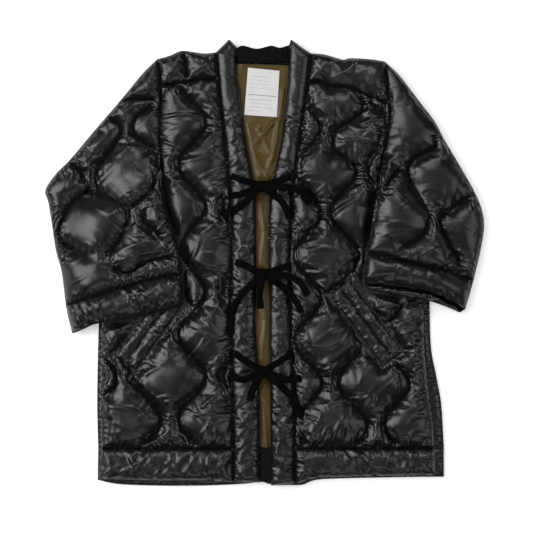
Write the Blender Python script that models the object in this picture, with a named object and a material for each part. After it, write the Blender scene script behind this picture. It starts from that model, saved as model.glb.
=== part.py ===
"""Padded overcoat laid flat on its back: quilted nylon outside, olive lining inside, tape bows.

Metres, +Z up off the floor. The origin is on the floor below the middle of the coat. The neck is
at +Y and the hem at -Y. Pieces are named by the wearer's side, so the right ones are at -X.
"""
import math

import bmesh
import bpy
import numpy as np
from mathutils import Vector
from mathutils.bvhtree import BVHTree
from mathutils.geometry import delaunay_2d_cdt

# Cloth and wadding
GAP = 0.0003
BACK_WALL = 0.010
LINING_WALL = 0.001
SEAM_WALL = 0.0035
EDGE_WALL = 0.0015
PUFF = 0.015
PUFF_REACH = 0.038
PUFF_CROWN = 0.7
BAND_PUFF = 0.010
BAND_REACH = 0.024
NAPE_WALL = 0.003
NAPE_PUFF = 0.005
NAPE_REACH = 0.012
LINING_REST = BACK_WALL + GAP
FRONT_REST = LINING_REST + LINING_WALL + GAP

# How the sleeves lie over the body
OVER_BODY = 0.020
RAMP_START = 0.015
RAMP_LENGTH = 0.060
PRESS_START = 0.012
PRESS_LENGTH = 0.034
PRESSED_SHARE = 0.08
SLEEVE_SLIT = 0.001
SLIT_INSET = 1.6
EDGE_UNDERCUT = 0.008
EDGE_EASE = 0.012

# How far the sides of the flat layers are rounded off
BACK_ROUND = 0.004
COLLAR_ROUND = 0.003
SHEET_ROUND = 0.001
LABEL_ROUND = 0.0004
TOP_ROUND_SHARE = 0.25

# Mesh steps. Loose points keep a share of a step away from outlines and stitched lines.
OUTLINE_STEP = 0.020
FRONT_STEP = 0.0195
SLEEVE_LINE_STEP = 0.016
BAND_STEP = 0.017
WELT_STEP = 0.012
NAPE_STEP = 0.010
COARSE_STEP = 0.027
KEEP_CLEAR = 0.6
LINE_MARGIN = 0.006
SAME_SPOT = 0.001
CURVE_SAMPLES = 13
SHARP_ANGLE = 50.0
TINY = 1e-12
MERGE = 1e-6

# Quilting: neighbouring stitched waves are half a wave apart
WAVE_LENGTH = 0.162
WAVE_SWING = 0.026
WAVE_TOP_Y = 0.400
WAVE_STEPS = 10

# Stitched waves on the fronts: centre X, how far the centre leans for each metre up, height of
# the wave's crest, and which way that crest points
FRONT_RIGHT_WAVES = (
    (-0.3090, 0.000, 0.268, 1),
    (-0.2235, 0.000, 0.268, -1),
    (-0.1380, 0.000, 0.268, 1),
    (-0.0525, 0.000, 0.268, -1),
)
FRONT_LEFT_WAVES = (
    (0.0810, -0.008, -0.067, 1),
    (0.1560, -0.045, -0.067, -1),
    (0.2340, -0.065, -0.067, 1),
    (0.3150, -0.080, -0.067, -1),
)

# The second wave on the left front starts with its own bends and is regular below this height
LEFT_START = ((0.184, 0.320), (0.188, 0.302), (0.184, 0.289), (0.172, 0.276), (0.157, 0.267),
              (0.141, 0.258), (0.131, 0.245), (0.130, 0.222), (0.137, 0.210), (0.156, 0.200),
              (0.169, 0.187))
LEFT_START_WAVE = 1

# Seams that close the quilting below each shoulder, from the band to the armhole, and a pleat
YOKE_RIGHT = ((-0.082, 0.352), (-0.1245, 0.350), (-0.147, 0.346), (-0.196, 0.338))
YOKE_LEFT = ((0.085, 0.344), (0.105, 0.346), (0.126, 0.337), (0.153, 0.336), (0.172, 0.331),
             (0.210, 0.312), (0.231, 0.306))
PLEAT_RIGHT = ((-0.154, 0.398), (-0.150, 0.376), (-0.148, 0.354))

# Outlines, neck to hem, as X and Y of the points that each curve passes through
SHOULDER_RIGHT = ((-0.093, 0.401), (-0.117, 0.399), (-0.157, 0.404), (-0.180, 0.395),
                  (-0.205, 0.388))
SHOULDER_LEFT = ((0.088, 0.399), (0.114, 0.397), (0.149, 0.387), (0.162, 0.390),
                 (0.200, 0.388), (0.228, 0.384))
ARMHOLE_RIGHT = ((-0.205, 0.388), (-0.199, 0.348), (-0.198, 0.291), (-0.199, 0.215),
                 (-0.198, 0.146))
ARMHOLE_LEFT = ((0.228, 0.384), (0.234, 0.329), (0.238, 0.287), (0.234, 0.249),
                (0.227, 0.215), (0.222, 0.180), (0.219, 0.146))
ARMPIT_RIGHT = ((-0.198, 0.146), (-0.210, 0.120), (-0.241, 0.097), (-0.285, 0.078))
ARMPIT_LEFT = ((0.219, 0.146), (0.230, 0.120), (0.253, 0.097), (0.284, 0.072))
BACK_SIDE_RIGHT = ((-0.285, 0.078), (-0.302, 0.044), (-0.311, -0.032), (-0.317, -0.118),
                   (-0.320, -0.260), (-0.318, -0.353))
BACK_SIDE_LEFT = ((0.284, 0.072), (0.297, 0.044), (0.308, -0.004), (0.314, -0.051),
                  (0.317, -0.156), (0.327, -0.213), (0.337, -0.270), (0.342, -0.352))
FRONT_SIDE_RIGHT = ((-0.285, 0.078), (-0.296, 0.044), (-0.304, -0.032), (-0.310, -0.118),
                    (-0.313, -0.260), (-0.311, -0.353))
FRONT_SIDE_LEFT = ((0.284, 0.072), (0.289, 0.044), (0.301, -0.051), (0.303, -0.156),
                   (0.310, -0.232), (0.319, -0.298), (0.323, -0.352))
BAND_SEAM_RIGHT = ((-0.093, 0.401), (-0.087, 0.329), (-0.077, 0.243), (-0.068, 0.158),
                   (-0.063, 0.063), (-0.065, -0.051), (-0.063, -0.165), (-0.060, -0.353))
BAND_SEAM_LEFT = ((0.088, 0.399), (0.082, 0.348), (0.075, 0.291), (0.067, 0.234),
                  (0.054, 0.139), (0.049, 0.063), (0.048, -0.051), (0.051, -0.156),
                  (0.057, -0.260), (0.057, -0.353))
BAND_EDGE_RIGHT = ((-0.053, 0.411), (-0.053, 0.357), (-0.047, 0.319), (-0.036, 0.234),
                   (-0.022, 0.162), (-0.017, 0.120), (-0.016, -0.010), (-0.017, -0.120),
                   (-0.011, -0.213), (-0.009, -0.298), (-0.009, -0.418))
BAND_EDGE_LEFT = ((0.046, 0.416), (0.044, 0.348), (0.040, 0.310), (0.031, 0.234),
                  (0.019, 0.177), (0.011, 0.139), (0.007, 0.091), (0.006, 0.002),
                  (0.009, -0.070), (0.008, -0.146), (0.010, -0.232), (0.012, -0.424))
COLLAR_PEAK_RIGHT = (-0.068, 0.426)
COLLAR_PEAK_LEFT = (0.050, 0.426)
COLLAR_STEP_LEFT = (0.073, 0.409)
NECKLINE = ((-0.093, 0.401), (-0.076, 0.390), (-0.053, 0.381), (-0.005, 0.379),
            (0.046, 0.381), (0.069, 0.390), (0.088, 0.399))
NAPE_TOP = ((-0.053, 0.411), (-0.041, 0.415), (-0.015, 0.409), (0.012, 0.415),
            (0.028, 0.411), (0.046, 0.416))
FOLD_RIGHT = ((-0.205, 0.388), (-0.231, 0.363), (-0.275, 0.310), (-0.324, 0.253),
              (-0.372, 0.196), (-0.397, 0.171), (-0.418, 0.139), (-0.412, 0.114),
              (-0.404, 0.063), (-0.397, 0.019), (-0.387, -0.017), (-0.379, -0.080))
FOLD_LEFT = ((0.228, 0.384), (0.257, 0.357), (0.293, 0.310), (0.325, 0.268),
             (0.344, 0.232), (0.369, 0.190), (0.398, 0.139), (0.413, 0.104),
             (0.418, 0.070), (0.411, 0.023), (0.398, -0.032))
INNER_RIGHT = ((-0.198, 0.146), (-0.191, 0.114), (-0.176, 0.063), (-0.163, 0.025),
               (-0.156, -0.023))
INNER_LEFT = ((0.219, 0.146), (0.210, 0.114), (0.203, 0.072), (0.193, 0.019))
CUFF_SEAM_RIGHT = ((-0.379, -0.080), (-0.342, -0.068), (-0.285, -0.051), (-0.228, -0.034),
                   (-0.193, -0.026), (-0.156, -0.023))
CUFF_SEAM_LEFT = ((0.398, -0.032), (0.342, -0.014), (0.304, -0.006), (0.257, 0.007),
                  (0.193, 0.019))
CUFF_FOLD_RIGHT = ((-0.379, -0.080), (-0.374, -0.104), (-0.366, -0.134))
CUFF_FOLD_LEFT = ((0.398, -0.032), (0.390, -0.061), (0.382, -0.088))
CUFF_INNER_RIGHT = ((-0.156, -0.023), (-0.154, -0.051), (-0.155, -0.080))
CUFF_INNER_LEFT = ((0.193, 0.019), (0.187, -0.034))
CUFF_MOUTH_RIGHT = ((-0.366, -0.134), (-0.342, -0.122), (-0.317, -0.112), (-0.256, -0.104),
                    (-0.209, -0.093), (-0.155, -0.080))
CUFF_MOUTH_LEFT = ((0.382, -0.088), (0.342, -0.065), (0.304, -0.050), (0.266, -0.044),
                   (0.228, -0.038), (0.187, -0.034))
MOUTH_DROP_RIGHT = 0.003
MOUTH_DROP_LEFT = 0.020
MOUTH_DROP_SPAN = (0.08, 0.88)
HEM_BACK_SEAM = ((-0.318, -0.353), (-0.161, -0.357), (0.000, -0.359), (0.162, -0.355),
                 (0.342, -0.352))
HEM_BACK_EDGE = ((-0.319, -0.414), (-0.279, -0.422), (-0.209, -0.425), (-0.123, -0.425),
                 (-0.047, -0.422), (-0.005, -0.418), (0.010, -0.422), (0.067, -0.424),
                 (0.090, -0.416), (0.124, -0.412), (0.257, -0.409), (0.342, -0.408))
HEM_EDGE_RIGHT = ((-0.318, -0.412), (-0.279, -0.412), (-0.209, -0.414), (-0.123, -0.414),
                  (-0.060, -0.417))
HEM_EDGE_LEFT = ((0.057, -0.422), (0.090, -0.411), (0.124, -0.408), (0.257, -0.405),
                 (0.325, -0.404))
LABEL_CORNERS = ((-0.032, 0.372), (0.028, 0.366), (0.023, 0.278), (-0.039, 0.282))
LABEL_WALL = 0.0008
LINING_TUCK = 0.012
NECK_BOTTOM = 0.379
COLLAR_GAP = 0.001
FACING_SIDES = (-0.024, 0.026)
FACING_ENDS = (-0.414, -0.416)
HEM_SEAM_Y = -0.353
COAT_REACH = 0.420
BODY_CORNER_X = 0.100

# Sleeve quilting, as it lies after the sleeves are folded down
SLEEVE_RIGHT_WAVES = (
    ((-0.300, 0.279), (-0.273, 0.257), (-0.290, 0.219), (-0.317, 0.183), (-0.320, 0.146),
     (-0.290, 0.125), (-0.257, 0.106)),
    ((-0.215, 0.300), (-0.247, 0.275), (-0.247, 0.243), (-0.205, 0.217)),
    ((-0.200, 0.180), (-0.212, 0.144), (-0.237, 0.118), (-0.256, 0.102), (-0.258, 0.080),
     (-0.277, 0.040), (-0.296, 0.018)),
    ((-0.331, 0.141), (-0.370, 0.110), (-0.393, 0.057), (-0.368, 0.026), (-0.336, 0.015)),
    ((-0.231, 0.095), (-0.225, 0.076), (-0.197, 0.052)),
    ((-0.287, -0.010), (-0.256, -0.018), (-0.222, 0.003), (-0.172, 0.014)),
)
SLEEVE_LEFT_WAVES = (
    ((0.325, 0.234), (0.320, 0.218), (0.280, 0.196), (0.273, 0.167), (0.295, 0.123),
     (0.312, 0.088), (0.300, 0.053), (0.265, 0.030)),
    ((0.388, 0.122), (0.350, 0.100), (0.333, 0.077), (0.350, 0.040), (0.372, 0.002)),
    ((0.257, 0.180), (0.238, 0.158), (0.226, 0.138)),
)

# Pocket welts: upper end, lower end, and the height of the front below them
WELT_RIGHT = ((-0.173, -0.063), (-0.264, -0.190), 0.0154)
WELT_LEFT = ((0.142, -0.046), (0.244, -0.182), 0.0154)
WELT_WIDTH = 0.046
WELT_WALL = 0.0040
WELT_EASE = 0.022
WELT_KEEP = 0.004
WELT_SEAT_WIDTH = WELT_WIDTH + 0.007
LIP_REACH = 0.25 * WELT_WIDTH
WELT_SIDE_POINTS = 8
SNAP_RIGHT = (-0.2212, -0.1080)
SNAP_LEFT = (0.2019, -0.1045)
SNAP_RADIUS = 0.0075
SNAP_HEIGHT = 0.0022
SNAP_SIDES = 16
SNAP_PROFILE = ((1.0, 0.0), (1.0, 0.45), (0.82, 0.9), (0.45, 1.0))

# How many places are tried across a piece for the height of what it lies on
TAPE_PROBES = 7
SNAP_PROBES = 7
KNOT_PROBES = 25

# Tied bows
TAPE_WIDTH = 0.013
TAPE_WALL = 0.0014
TAPE_STEP = 0.009
TAPE_FOLD = 0.0022
TAPE_CLEAR = 0.0005
KNOT_CLEAR = 0.0009
TAPE_SLOPE = 0.6
TAPE_PROBE_REACH = 1.1
KNOT_SIZE = (0.030, 0.022, 0.014)
KNOT_RINGS = (14, 8)
LOOP_TURNS = (-0.5, 0.0, 0.5)

# Each bow's knot, then its strands: name, whether it is a loop, and the route on from the knot
BOWS = (
    ("upper", (-0.006, 0.146), (
        ("lead_right", False, ((-0.045, 0.158), (-0.064, 0.166))),
        ("tail_right", False, ((-0.046, 0.130), (-0.066, 0.128))),
        ("loop_right", True, ((-0.044, 0.110), (-0.079, 0.092))),
        ("lead_left", False, ((0.032, 0.158), (0.050, 0.166))),
        ("loop_left", True, ((0.046, 0.143), (0.070, 0.133), (0.084, 0.116))),
        ("tail_left", False, ((0.034, 0.114), (0.048, 0.085))),
    )),
    ("middle", (-0.004, -0.021), (
        ("lead_right", False, ((-0.040, -0.004), (-0.056, 0.002))),
        ("tail_right", False, ((-0.042, -0.058), (-0.060, -0.090), (-0.068, -0.135))),
        ("loop_right", True, ((-0.010, -0.060), (-0.008, -0.084))),
        ("lead_left", False, ((0.032, -0.010), (0.049, -0.004))),
        ("loop_left", True, ((0.044, -0.025), (0.066, -0.036), (0.080, -0.058))),
        ("tail_left", False, ((0.038, -0.048), (0.058, -0.072), (0.070, -0.094))),
    )),
    ("lower", (-0.002, -0.206), (
        ("lead_right", False, ((-0.040, -0.184), (-0.057, -0.171))),
        ("loop_right", True, ((-0.042, -0.221), (-0.064, -0.214))),
        ("tail_right", False, ((-0.022, -0.240), (-0.028, -0.262))),
        ("lead_left", False, ((0.034, -0.183), (0.052, -0.170))),
        ("loop_left", True, ((0.040, -0.221), (0.064, -0.219))),
        ("tail_left", False, ((0.038, -0.240), (0.058, -0.262), (0.066, -0.292))),
    )),
)

# Finishes: colour, roughness, metallic
FINISHES = {
    "shell_nylon": ((0.016, 0.016, 0.018), 0.32, 0.0),
    "lining_nylon": ((0.150, 0.115, 0.045), 0.42, 0.0),
    "nape_pile": ((0.010, 0.010, 0.011), 0.95, 0.0),
    "label_cloth": ((0.820, 0.820, 0.810), 0.80, 0.0),
    "tape": ((0.008, 0.008, 0.009), 0.90, 0.0),
    "snap_metal": ((0.045, 0.045, 0.048), 0.35, 0.8),
}


def clear_scene():
    """Empty the scene without closing the file."""
    for thing in list(bpy.data.objects):
        bpy.data.objects.remove(thing, do_unlink=True)


def finish(name):
    """One shared material for each kind of cloth."""
    material = bpy.data.materials.get(name)
    if material is None:
        colour, roughness, metallic = FINISHES[name]
        material = bpy.data.materials.new(name)
        material.use_nodes = True
        shader = material.node_tree.nodes["Principled BSDF"]
        shader.inputs["Base Color"].default_value = (*colour, 1.0)
        shader.inputs["Roughness"].default_value = roughness
        shader.inputs["Metallic"].default_value = metallic
        material.diffuse_color = (*colour, 1.0)
    return material


def add_solid(name, finish_name, shape):
    """Turn a bmesh into a named object with its faces pointing out."""
    bmesh.ops.recalc_face_normals(shape, faces=shape.faces)
    mesh = bpy.data.meshes.new(name)
    shape.to_mesh(mesh)
    shape.free()
    mesh.shade_smooth()
    mesh.set_sharp_from_angle(angle=math.radians(SHARP_ANGLE))
    mesh.materials.append(finish(finish_name))
    solid = bpy.data.objects.new(name, mesh)
    bpy.context.scene.collection.objects.link(solid)
    return solid


def smoothstep(start, length, value):
    """0 before start, 1 after start + length, and a soft S between."""
    t = np.clip((value - start) / length, 0.0, 1.0)
    return t * t * (3.0 - 2.0 * t)


def curve(points, step=OUTLINE_STEP):
    """A smooth curve through the points, cut into steps of about one length."""
    knots = np.array(points, dtype=float)
    padded = np.vstack([2 * knots[0] - knots[1], knots, 2 * knots[-1] - knots[-2]])
    dense = [knots[0]]
    for i in range(1, len(padded) - 2):
        p0, p1, p2, p3 = padded[i - 1:i + 3]
        for t in np.linspace(0.0, 1.0, CURVE_SAMPLES)[1:]:
            dense.append(0.5 * (2 * p1 + (p2 - p0) * t + (2 * p0 - 5 * p1 + 4 * p2 - p3) * t ** 2
                                + (3 * p1 - 3 * p2 + p3 - p0) * t ** 3))
    dense = np.array(dense)
    run = np.concatenate([[0.0], np.cumsum(np.linalg.norm(np.diff(dense, axis=0), axis=1))])
    count = max(1, round(run[-1] / step))
    at = np.linspace(0.0, run[-1], count + 1)
    return np.column_stack([np.interp(at, run, dense[:, k]) for k in range(knots.shape[1])])


def loop_of(*runs):
    """Join runs of points end to end into one counter-clockwise outline without doubled points."""
    points = []
    for run in runs:
        for point in run:
            if not points or np.hypot(*(point - points[-1])) > SAME_SPOT:
                points.append(np.array(point, dtype=float))
    if np.hypot(*(points[0] - points[-1])) <= SAME_SPOT:
        points.pop()
    points = np.array(points)
    x, y = points.T
    area = np.sum(x * np.roll(y, -1) - y * np.roll(x, -1))
    return points if area > 0 else points[::-1].copy()


def inset(outline, distance):
    """Move a counter-clockwise outline inwards, keeping its corners."""
    ahead = np.roll(outline, -1, axis=0) - outline
    ahead /= np.linalg.norm(ahead, axis=1)[:, None]
    behind = np.roll(ahead, 1, axis=0)
    normal = np.column_stack([-ahead[:, 1], ahead[:, 0]])
    normal_behind = np.column_stack([-behind[:, 1], behind[:, 0]])
    middle = normal + normal_behind
    middle /= np.linalg.norm(middle, axis=1)[:, None]
    stretch = np.maximum(0.5, np.sum(middle * normal, axis=1))
    return outline + middle * (distance / stretch)[:, None]


def distance_to(points, run, closed=False):
    """Distance from each point to a polyline."""
    ends = np.roll(run, -1, axis=0) if closed else run[1:]
    starts = run if closed else run[:-1]
    along = ends - starts
    length2 = np.maximum(np.sum(along * along, axis=1), TINY)
    offset = points[:, None, :] - starts[None, :, :]
    t = np.clip(np.sum(offset * along[None], axis=2) / length2, 0.0, 1.0)
    nearest = starts[None] + along[None] * t[..., None]
    return np.min(np.linalg.norm(points[:, None, :] - nearest, axis=2), axis=1)


def inside(points, outline):
    """Whether each point is inside a closed outline."""
    x, y = points.T
    found = np.zeros(len(points), dtype=bool)
    for (x0, y0), (x1, y1) in zip(outline, np.roll(outline, -1, axis=0)):
        if y0 == y1:
            continue
        crosses = (y0 > y) != (y1 > y)
        found ^= crosses & (x < (x1 - x0) * (y - y0) / (y1 - y0) + x0)
    return found


def outside_by(points, outline):
    """Distance outside an outline, 0 within it."""
    return np.where(inside(points, outline), 0.0, distance_to(points, outline, closed=True))


def wave(centre, lean, crest, side):
    """One stitched wave down a front, from the shoulder to the hem seam."""
    y = np.arange(WAVE_TOP_Y, HEM_SEAM_Y, -WAVE_LENGTH / WAVE_STEPS)
    turn = 2 * math.pi * (y - crest) / WAVE_LENGTH
    return np.column_stack([centre + lean * y + side * WAVE_SWING * np.cos(turn), y])


def after_start(whole):
    """The left front's second wave: its own start, then the regular wave."""
    start = curve(LEFT_START, SLEEVE_LINE_STEP)
    below = whole[:, 1] < LEFT_START[-1][1] - 0.5 * SLEEVE_LINE_STEP
    return np.vstack([start, whole[below]])


def clipped(run, outline, margin, keep_inside=True):
    """The stretches of a line that lie inside an outline, or outside it, by a margin."""
    keep = inside(run, outline) == keep_inside
    keep &= distance_to(run, outline, closed=True) > margin
    stretches = []
    current = []
    for point, kept in zip(run, keep):
        if kept:
            current.append(point)
            continue
        if len(current) > 1:
            stretches.append(np.array(current))
        current = []
    if len(current) > 1:
        stretches.append(np.array(current))
    return stretches


def triangulate(outline, lines, step):
    """Triangles over an outline that follow the stitched lines. The outline's points come first."""
    points = list(outline)
    edges = []
    for line in lines:
        first = len(points)
        points.extend(line)
        edges.extend((first + i, first + i + 1) for i in range(len(line) - 1))
    low = outline.min(axis=0)
    high = outline.max(axis=0)
    rise = step * math.sqrt(0.75)
    grid = []
    for row, y in enumerate(np.arange(low[1], high[1], rise)):
        for x in np.arange(low[0] + (row % 2) * step / 2, high[0], step):
            grid.append((x, y))
    grid = np.array(grid)
    clear = KEEP_CLEAR * step
    keep = inside(grid, outline) & (distance_to(grid, outline, closed=True) > clear)
    for line in lines:
        keep &= distance_to(grid, line) > clear
    points.extend(grid[keep])
    coords = [Vector((float(x), float(y))) for x, y in points]
    result = delaunay_2d_cdt(coords, edges, [list(range(len(outline)))], 1, MERGE)
    spots = np.array([tuple(v) for v in result[0]])
    place = {}
    for new, olds in enumerate(result[3]):
        for old in olds:
            place[old] = new
    order = [place[i] for i in range(len(outline))]
    return spots, result[2], order


def puffed(points, stitched, height, reach):
    """How far the wadding rises between stitched lines."""
    near = np.min([distance_to(points, run, closed) for run, closed in stitched], axis=0)
    return height * np.sin(0.5 * math.pi * np.minimum(1.0, near / reach)) ** PUFF_CROWN


def add_panel(name, finish_name, outline, top, rest, lines=(), step=FRONT_STEP):
    """A wall of cloth with a shaped top over a plain flat underside at height rest."""
    spots, faces, order = triangulate(outline, lines, step)
    heights = top(spots)
    shape = bmesh.new()
    upper = [shape.verts.new((x, y, z)) for (x, y), z in zip(spots, heights)]
    lower = [shape.verts.new((*spots[i], rest)) for i in order]
    for face in faces:
        shape.faces.new([upper[i] for i in face])
    count = len(order)
    for i in range(count):
        j = (i + 1) % count
        shape.faces.new((lower[i], lower[j], upper[order[j]], upper[order[i]]))
    shape.faces.new(lower)
    return add_solid(name, finish_name, shape)


def add_slab(name, finish_name, outline, rest, top, roundness):
    """A flat layer with rounded sides."""
    middle = rest + 0.5 * (top - rest)
    rings = ((inset(outline, roundness), rest), (outline, middle),
             (inset(outline, TOP_ROUND_SHARE * roundness), top))
    shape = bmesh.new()
    loops = [[shape.verts.new((x, y, z)) for x, y in ring] for ring, z in rings]
    for below, above in zip(loops, loops[1:]):
        for i in range(len(outline)):
            j = (i + 1) % len(outline)
            shape.faces.new((below[i], below[j], above[j], above[i]))
    shape.faces.new(loops[0])
    shape.faces.new(loops[-1])
    return add_solid(name, finish_name, shape)


def front_top(outline, lines, cover, welt):
    """Height of a front: puffs, pressed flat below the sleeve and at the pocket welt."""
    upper_end, lower_end, seat = welt
    welt_run = np.array([upper_end, lower_end])
    stitched = [(outline, True)] + [(line, False) for line in lines]

    def top(points):
        free = smoothstep(PRESS_START, PRESS_LENGTH, outside_by(points, cover))
        share = PRESSED_SHARE + (1 - PRESSED_SHARE) * free
        height = FRONT_REST + SEAM_WALL + puffed(points, stitched, PUFF, PUFF_REACH) * share
        away = distance_to(points, welt_run) - 0.5 * WELT_WIDTH - WELT_KEEP
        eased = smoothstep(0.0, WELT_EASE, away)
        return seat + (height - seat) * eased

    return top


def band_top(outline):
    """Height of a plain padded band."""
    def top(points):
        return FRONT_REST + SEAM_WALL + puffed(points, [(outline, True)], BAND_PUFF, BAND_REACH)

    return top


def strip(start, end, width):
    """A rectangle around a straight line, as an outline."""
    start = np.array(start)
    end = np.array(end)
    along = (end - start) / np.linalg.norm(end - start)
    across = np.array([-along[1], along[0]]) * 0.5 * width
    steps = np.linspace(0.0, 1.0, WELT_SIDE_POINTS)[:, None]
    one = start + (end - start) * steps + across
    other = end + (start - end) * steps - across
    return loop_of(one, other)


def tube_outline(edges):
    """One outline from a tube's four edges, where each edge starts, and which way is inwards."""
    outline = inset(loop_of(*edges), 0.5 * GAP)
    count = len(outline)
    starts = [int(np.argmin(np.linalg.norm(outline - edge[0], axis=1))) for edge in edges]
    inwards = 1.0
    if (starts[1] - starts[0]) % count != len(edges[0]) - 1:
        outline = outline[::-1].copy()
        starts = [count - 1 - i for i in starts]
        inwards = -1.0
    outline = np.roll(outline, -starts[0], axis=0)
    return outline, [(i - starts[0]) % count for i in starts], inwards


def tube_underside(outline, narrow, starts, drop):
    """Outline of the lower wall: undercut at the closed edges, past the upper wall at the mouth."""
    fold, mouth, inner, seam = starts
    count = len(outline)
    lower = outline.copy()
    for i in list(range(fold + 1, mouth)) + list(range(inner + 1, seam)):
        lower[i] = narrow[i]
    for i, step in ((fold, -1), (mouth, 1), (inner, -1), (seam, 1)):
        along = outline[(i + step) % count] - outline[i]
        lower[i] = outline[i] + along / np.linalg.norm(along) * EDGE_UNDERCUT
    low, high = MOUTH_DROP_SPAN
    for i in range(mouth + 1, inner):
        share = low + (high - low) * (i - mouth) / (inner - mouth)
        lower[i, 1] -= drop * math.sqrt(math.sin(math.pi * share))
    return lower


def tube_levels(outline, starts, lines, body):
    """Heights of a tube's underside, of the space between its walls, and of its top."""
    fold, mouth, inner, seam = starts
    closed_edges = [outline[fold:mouth + 1], outline[inner:seam + 1]]
    stitched = [(outline, True)] + [(line, False) for line in lines]

    def rest(points):
        return OVER_BODY * (1.0 - smoothstep(RAMP_START, RAMP_LENGTH, outside_by(points, body)))

    def middle(points):
        return rest(points) + BACK_WALL + 0.5 * (GAP + SLEEVE_SLIT)

    def top(points):
        to_side = np.min([distance_to(points, run) for run in closed_edges], axis=0)
        wall = EDGE_WALL + (SEAM_WALL - EDGE_WALL) * smoothstep(0.0, EDGE_EASE, to_side)
        rise = puffed(points, stitched, PUFF, PUFF_REACH)
        return middle(points) + 0.5 * SLEEVE_SLIT + wall + rise

    return rest, middle, top


def add_slit(shape, outline, narrow, starts, lower, middle):
    """The thin space between a tube's walls, open at its mouth and its seam.

    Gives the vertices above and below the opening, for each point of the outline there.
    """
    fold, mouth, inner, seam = starts
    ring = []
    source = {}
    opened = set()
    for closed_run, open_run in ((range(fold + 1, mouth), range(mouth + 1, inner)),
                                 (range(inner + 1, seam), range(seam + 1, len(outline)))):
        ring.extend(outline[i] + SLIT_INSET * (narrow[i] - outline[i]) for i in closed_run)
        opened.update(range(len(ring) + 1, len(ring) + len(open_run) - 1))
        for i in open_run:
            source[len(ring)] = i
            ring.append(outline[i])
    spots, faces, order = triangulate(np.array(ring), (), COARSE_STEP)
    place_of = {spot: place for place, spot in enumerate(order)}
    roof = []
    floor = []
    for i, (point, z) in enumerate(zip(spots, middle(spots))):
        place = place_of.get(i)
        if place is not None and place not in opened:
            roof.append(shape.verts.new((*point, z)))
            floor.append(roof[-1])
            continue
        below = lower[source[place]] if place in opened else point
        roof.append(shape.verts.new((*point, z + 0.5 * SLEEVE_SLIT)))
        floor.append(shape.verts.new((*below, z - 0.5 * SLEEVE_SLIT)))
    for face in faces:
        shape.faces.new([roof[i] for i in face])
        shape.faces.new([floor[i] for i in reversed(face)])
    return {i: (roof[order[place]], floor[order[place]]) for place, i in source.items()}


def add_face(shape, corners):
    """A face from the corners that differ from each other."""
    distinct = []
    for vert in corners:
        if vert not in distinct:
            distinct.append(vert)
    shape.faces.new(distinct)


def add_tube_sides(shape, low, up, gate):
    """Close the walls along the outline, and lead them into the slit where it is open."""
    for i in range(len(low)):
        j = (i + 1) % len(low)
        if i in gate and j in gate:
            add_face(shape, (low[i], low[j], gate[j][1], gate[i][1]))
            add_face(shape, (gate[i][0], gate[j][0], up[j], up[i]))
        elif j in gate:
            add_face(shape, (low[i], low[j], gate[j][1], up[j], up[i]))
        elif i in gate:
            add_face(shape, (low[i], low[j], up[j], up[i], gate[i][1]))
        else:
            add_face(shape, (low[i], low[j], up[j], up[i]))


def add_tube(name, edges, lines, body, drop):
    """A sleeve or cuff lying flat: upper and lower wall on each other, folded at the outer edge.

    edges are the fold, the mouth, the inner edge and the seam, each running on from the last.
    body is the outline that the tube climbs onto, and drop is how far the lower wall reaches
    past the upper one at the mouth.
    """
    outline, starts, inwards = tube_outline(edges)
    narrow = inset(outline, inwards * EDGE_UNDERCUT)
    lower = tube_underside(outline, narrow, starts, drop)
    rest, middle, top = tube_levels(outline, starts, lines, body)
    shape = bmesh.new()
    upper_spots, upper_faces, upper_order = triangulate(outline, lines, FRONT_STEP)
    under_spots, under_faces, under_order = triangulate(lower, (), COARSE_STEP)
    upper = [shape.verts.new((*p, z)) for p, z in zip(upper_spots, top(upper_spots))]
    under = [shape.verts.new((*p, z)) for p, z in zip(under_spots, rest(under_spots))]
    for face in upper_faces:
        shape.faces.new([upper[i] for i in face])
    for face in under_faces:
        shape.faces.new([under[i] for i in face])
    gate = add_slit(shape, outline, narrow, starts, lower, middle)
    add_tube_sides(shape, [under[i] for i in under_order], [upper[i] for i in upper_order], gate)
    return add_solid(name, "shell_nylon", shape)


class Surface:
    """The height of everything built so far, seen from above."""

    def __init__(self, solids):
        self.verts = []
        self.faces = []
        for solid in solids:
            self.add(solid)

    def add(self, solid):
        """Take one more solid in."""
        first = len(self.verts)
        self.verts.extend(solid.matrix_world @ v.co for v in solid.data.vertices)
        self.faces.extend([first + i for i in face.vertices] for face in solid.data.polygons)
        self.tree = BVHTree.FromPolygons(self.verts, self.faces)

    def height(self, x, y):
        """Height of the topmost point at one place."""
        hit = self.tree.ray_cast(Vector((x, y, 1.0)), Vector((0.0, 0.0, -1.0)))
        return hit[0].z if hit[0] else 0.0


def tape_heights(surface, route, across):
    """Underside heights that clear what is below and bridge its dips."""
    ahead = np.gradient(route, axis=0)
    ahead /= np.linalg.norm(ahead, axis=1)[:, None]
    raw = []
    for point, along, side in zip(route, ahead, across):
        samples = []
        for u in np.linspace(-TAPE_PROBE_REACH, TAPE_PROBE_REACH, TAPE_PROBES):
            for v in np.linspace(-1.0, 1.0, TAPE_PROBES):
                spot = point + side * u * 0.5 * TAPE_WIDTH + along * v * TAPE_STEP
                samples.append(surface.height(*spot))
        raw.append(max(samples))
    raw = np.array(raw)
    index = np.arange(len(raw))
    drop = TAPE_SLOPE * TAPE_STEP * np.abs(index[:, None] - index[None, :])
    return np.max(raw[None, :] - drop, axis=1) + TAPE_CLEAR


def leaves_knot(centre, towards):
    """Where a tape comes out of a knot on its way to a point."""
    way = np.array(towards) - np.array(centre)
    way /= np.linalg.norm(way)
    reach = 1.0 / math.hypot(way[0] / (0.5 * KNOT_SIZE[0]), way[1] / (0.5 * KNOT_SIZE[1]))
    return np.array(centre) + way * (reach + KNOT_CLEAR)


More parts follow.
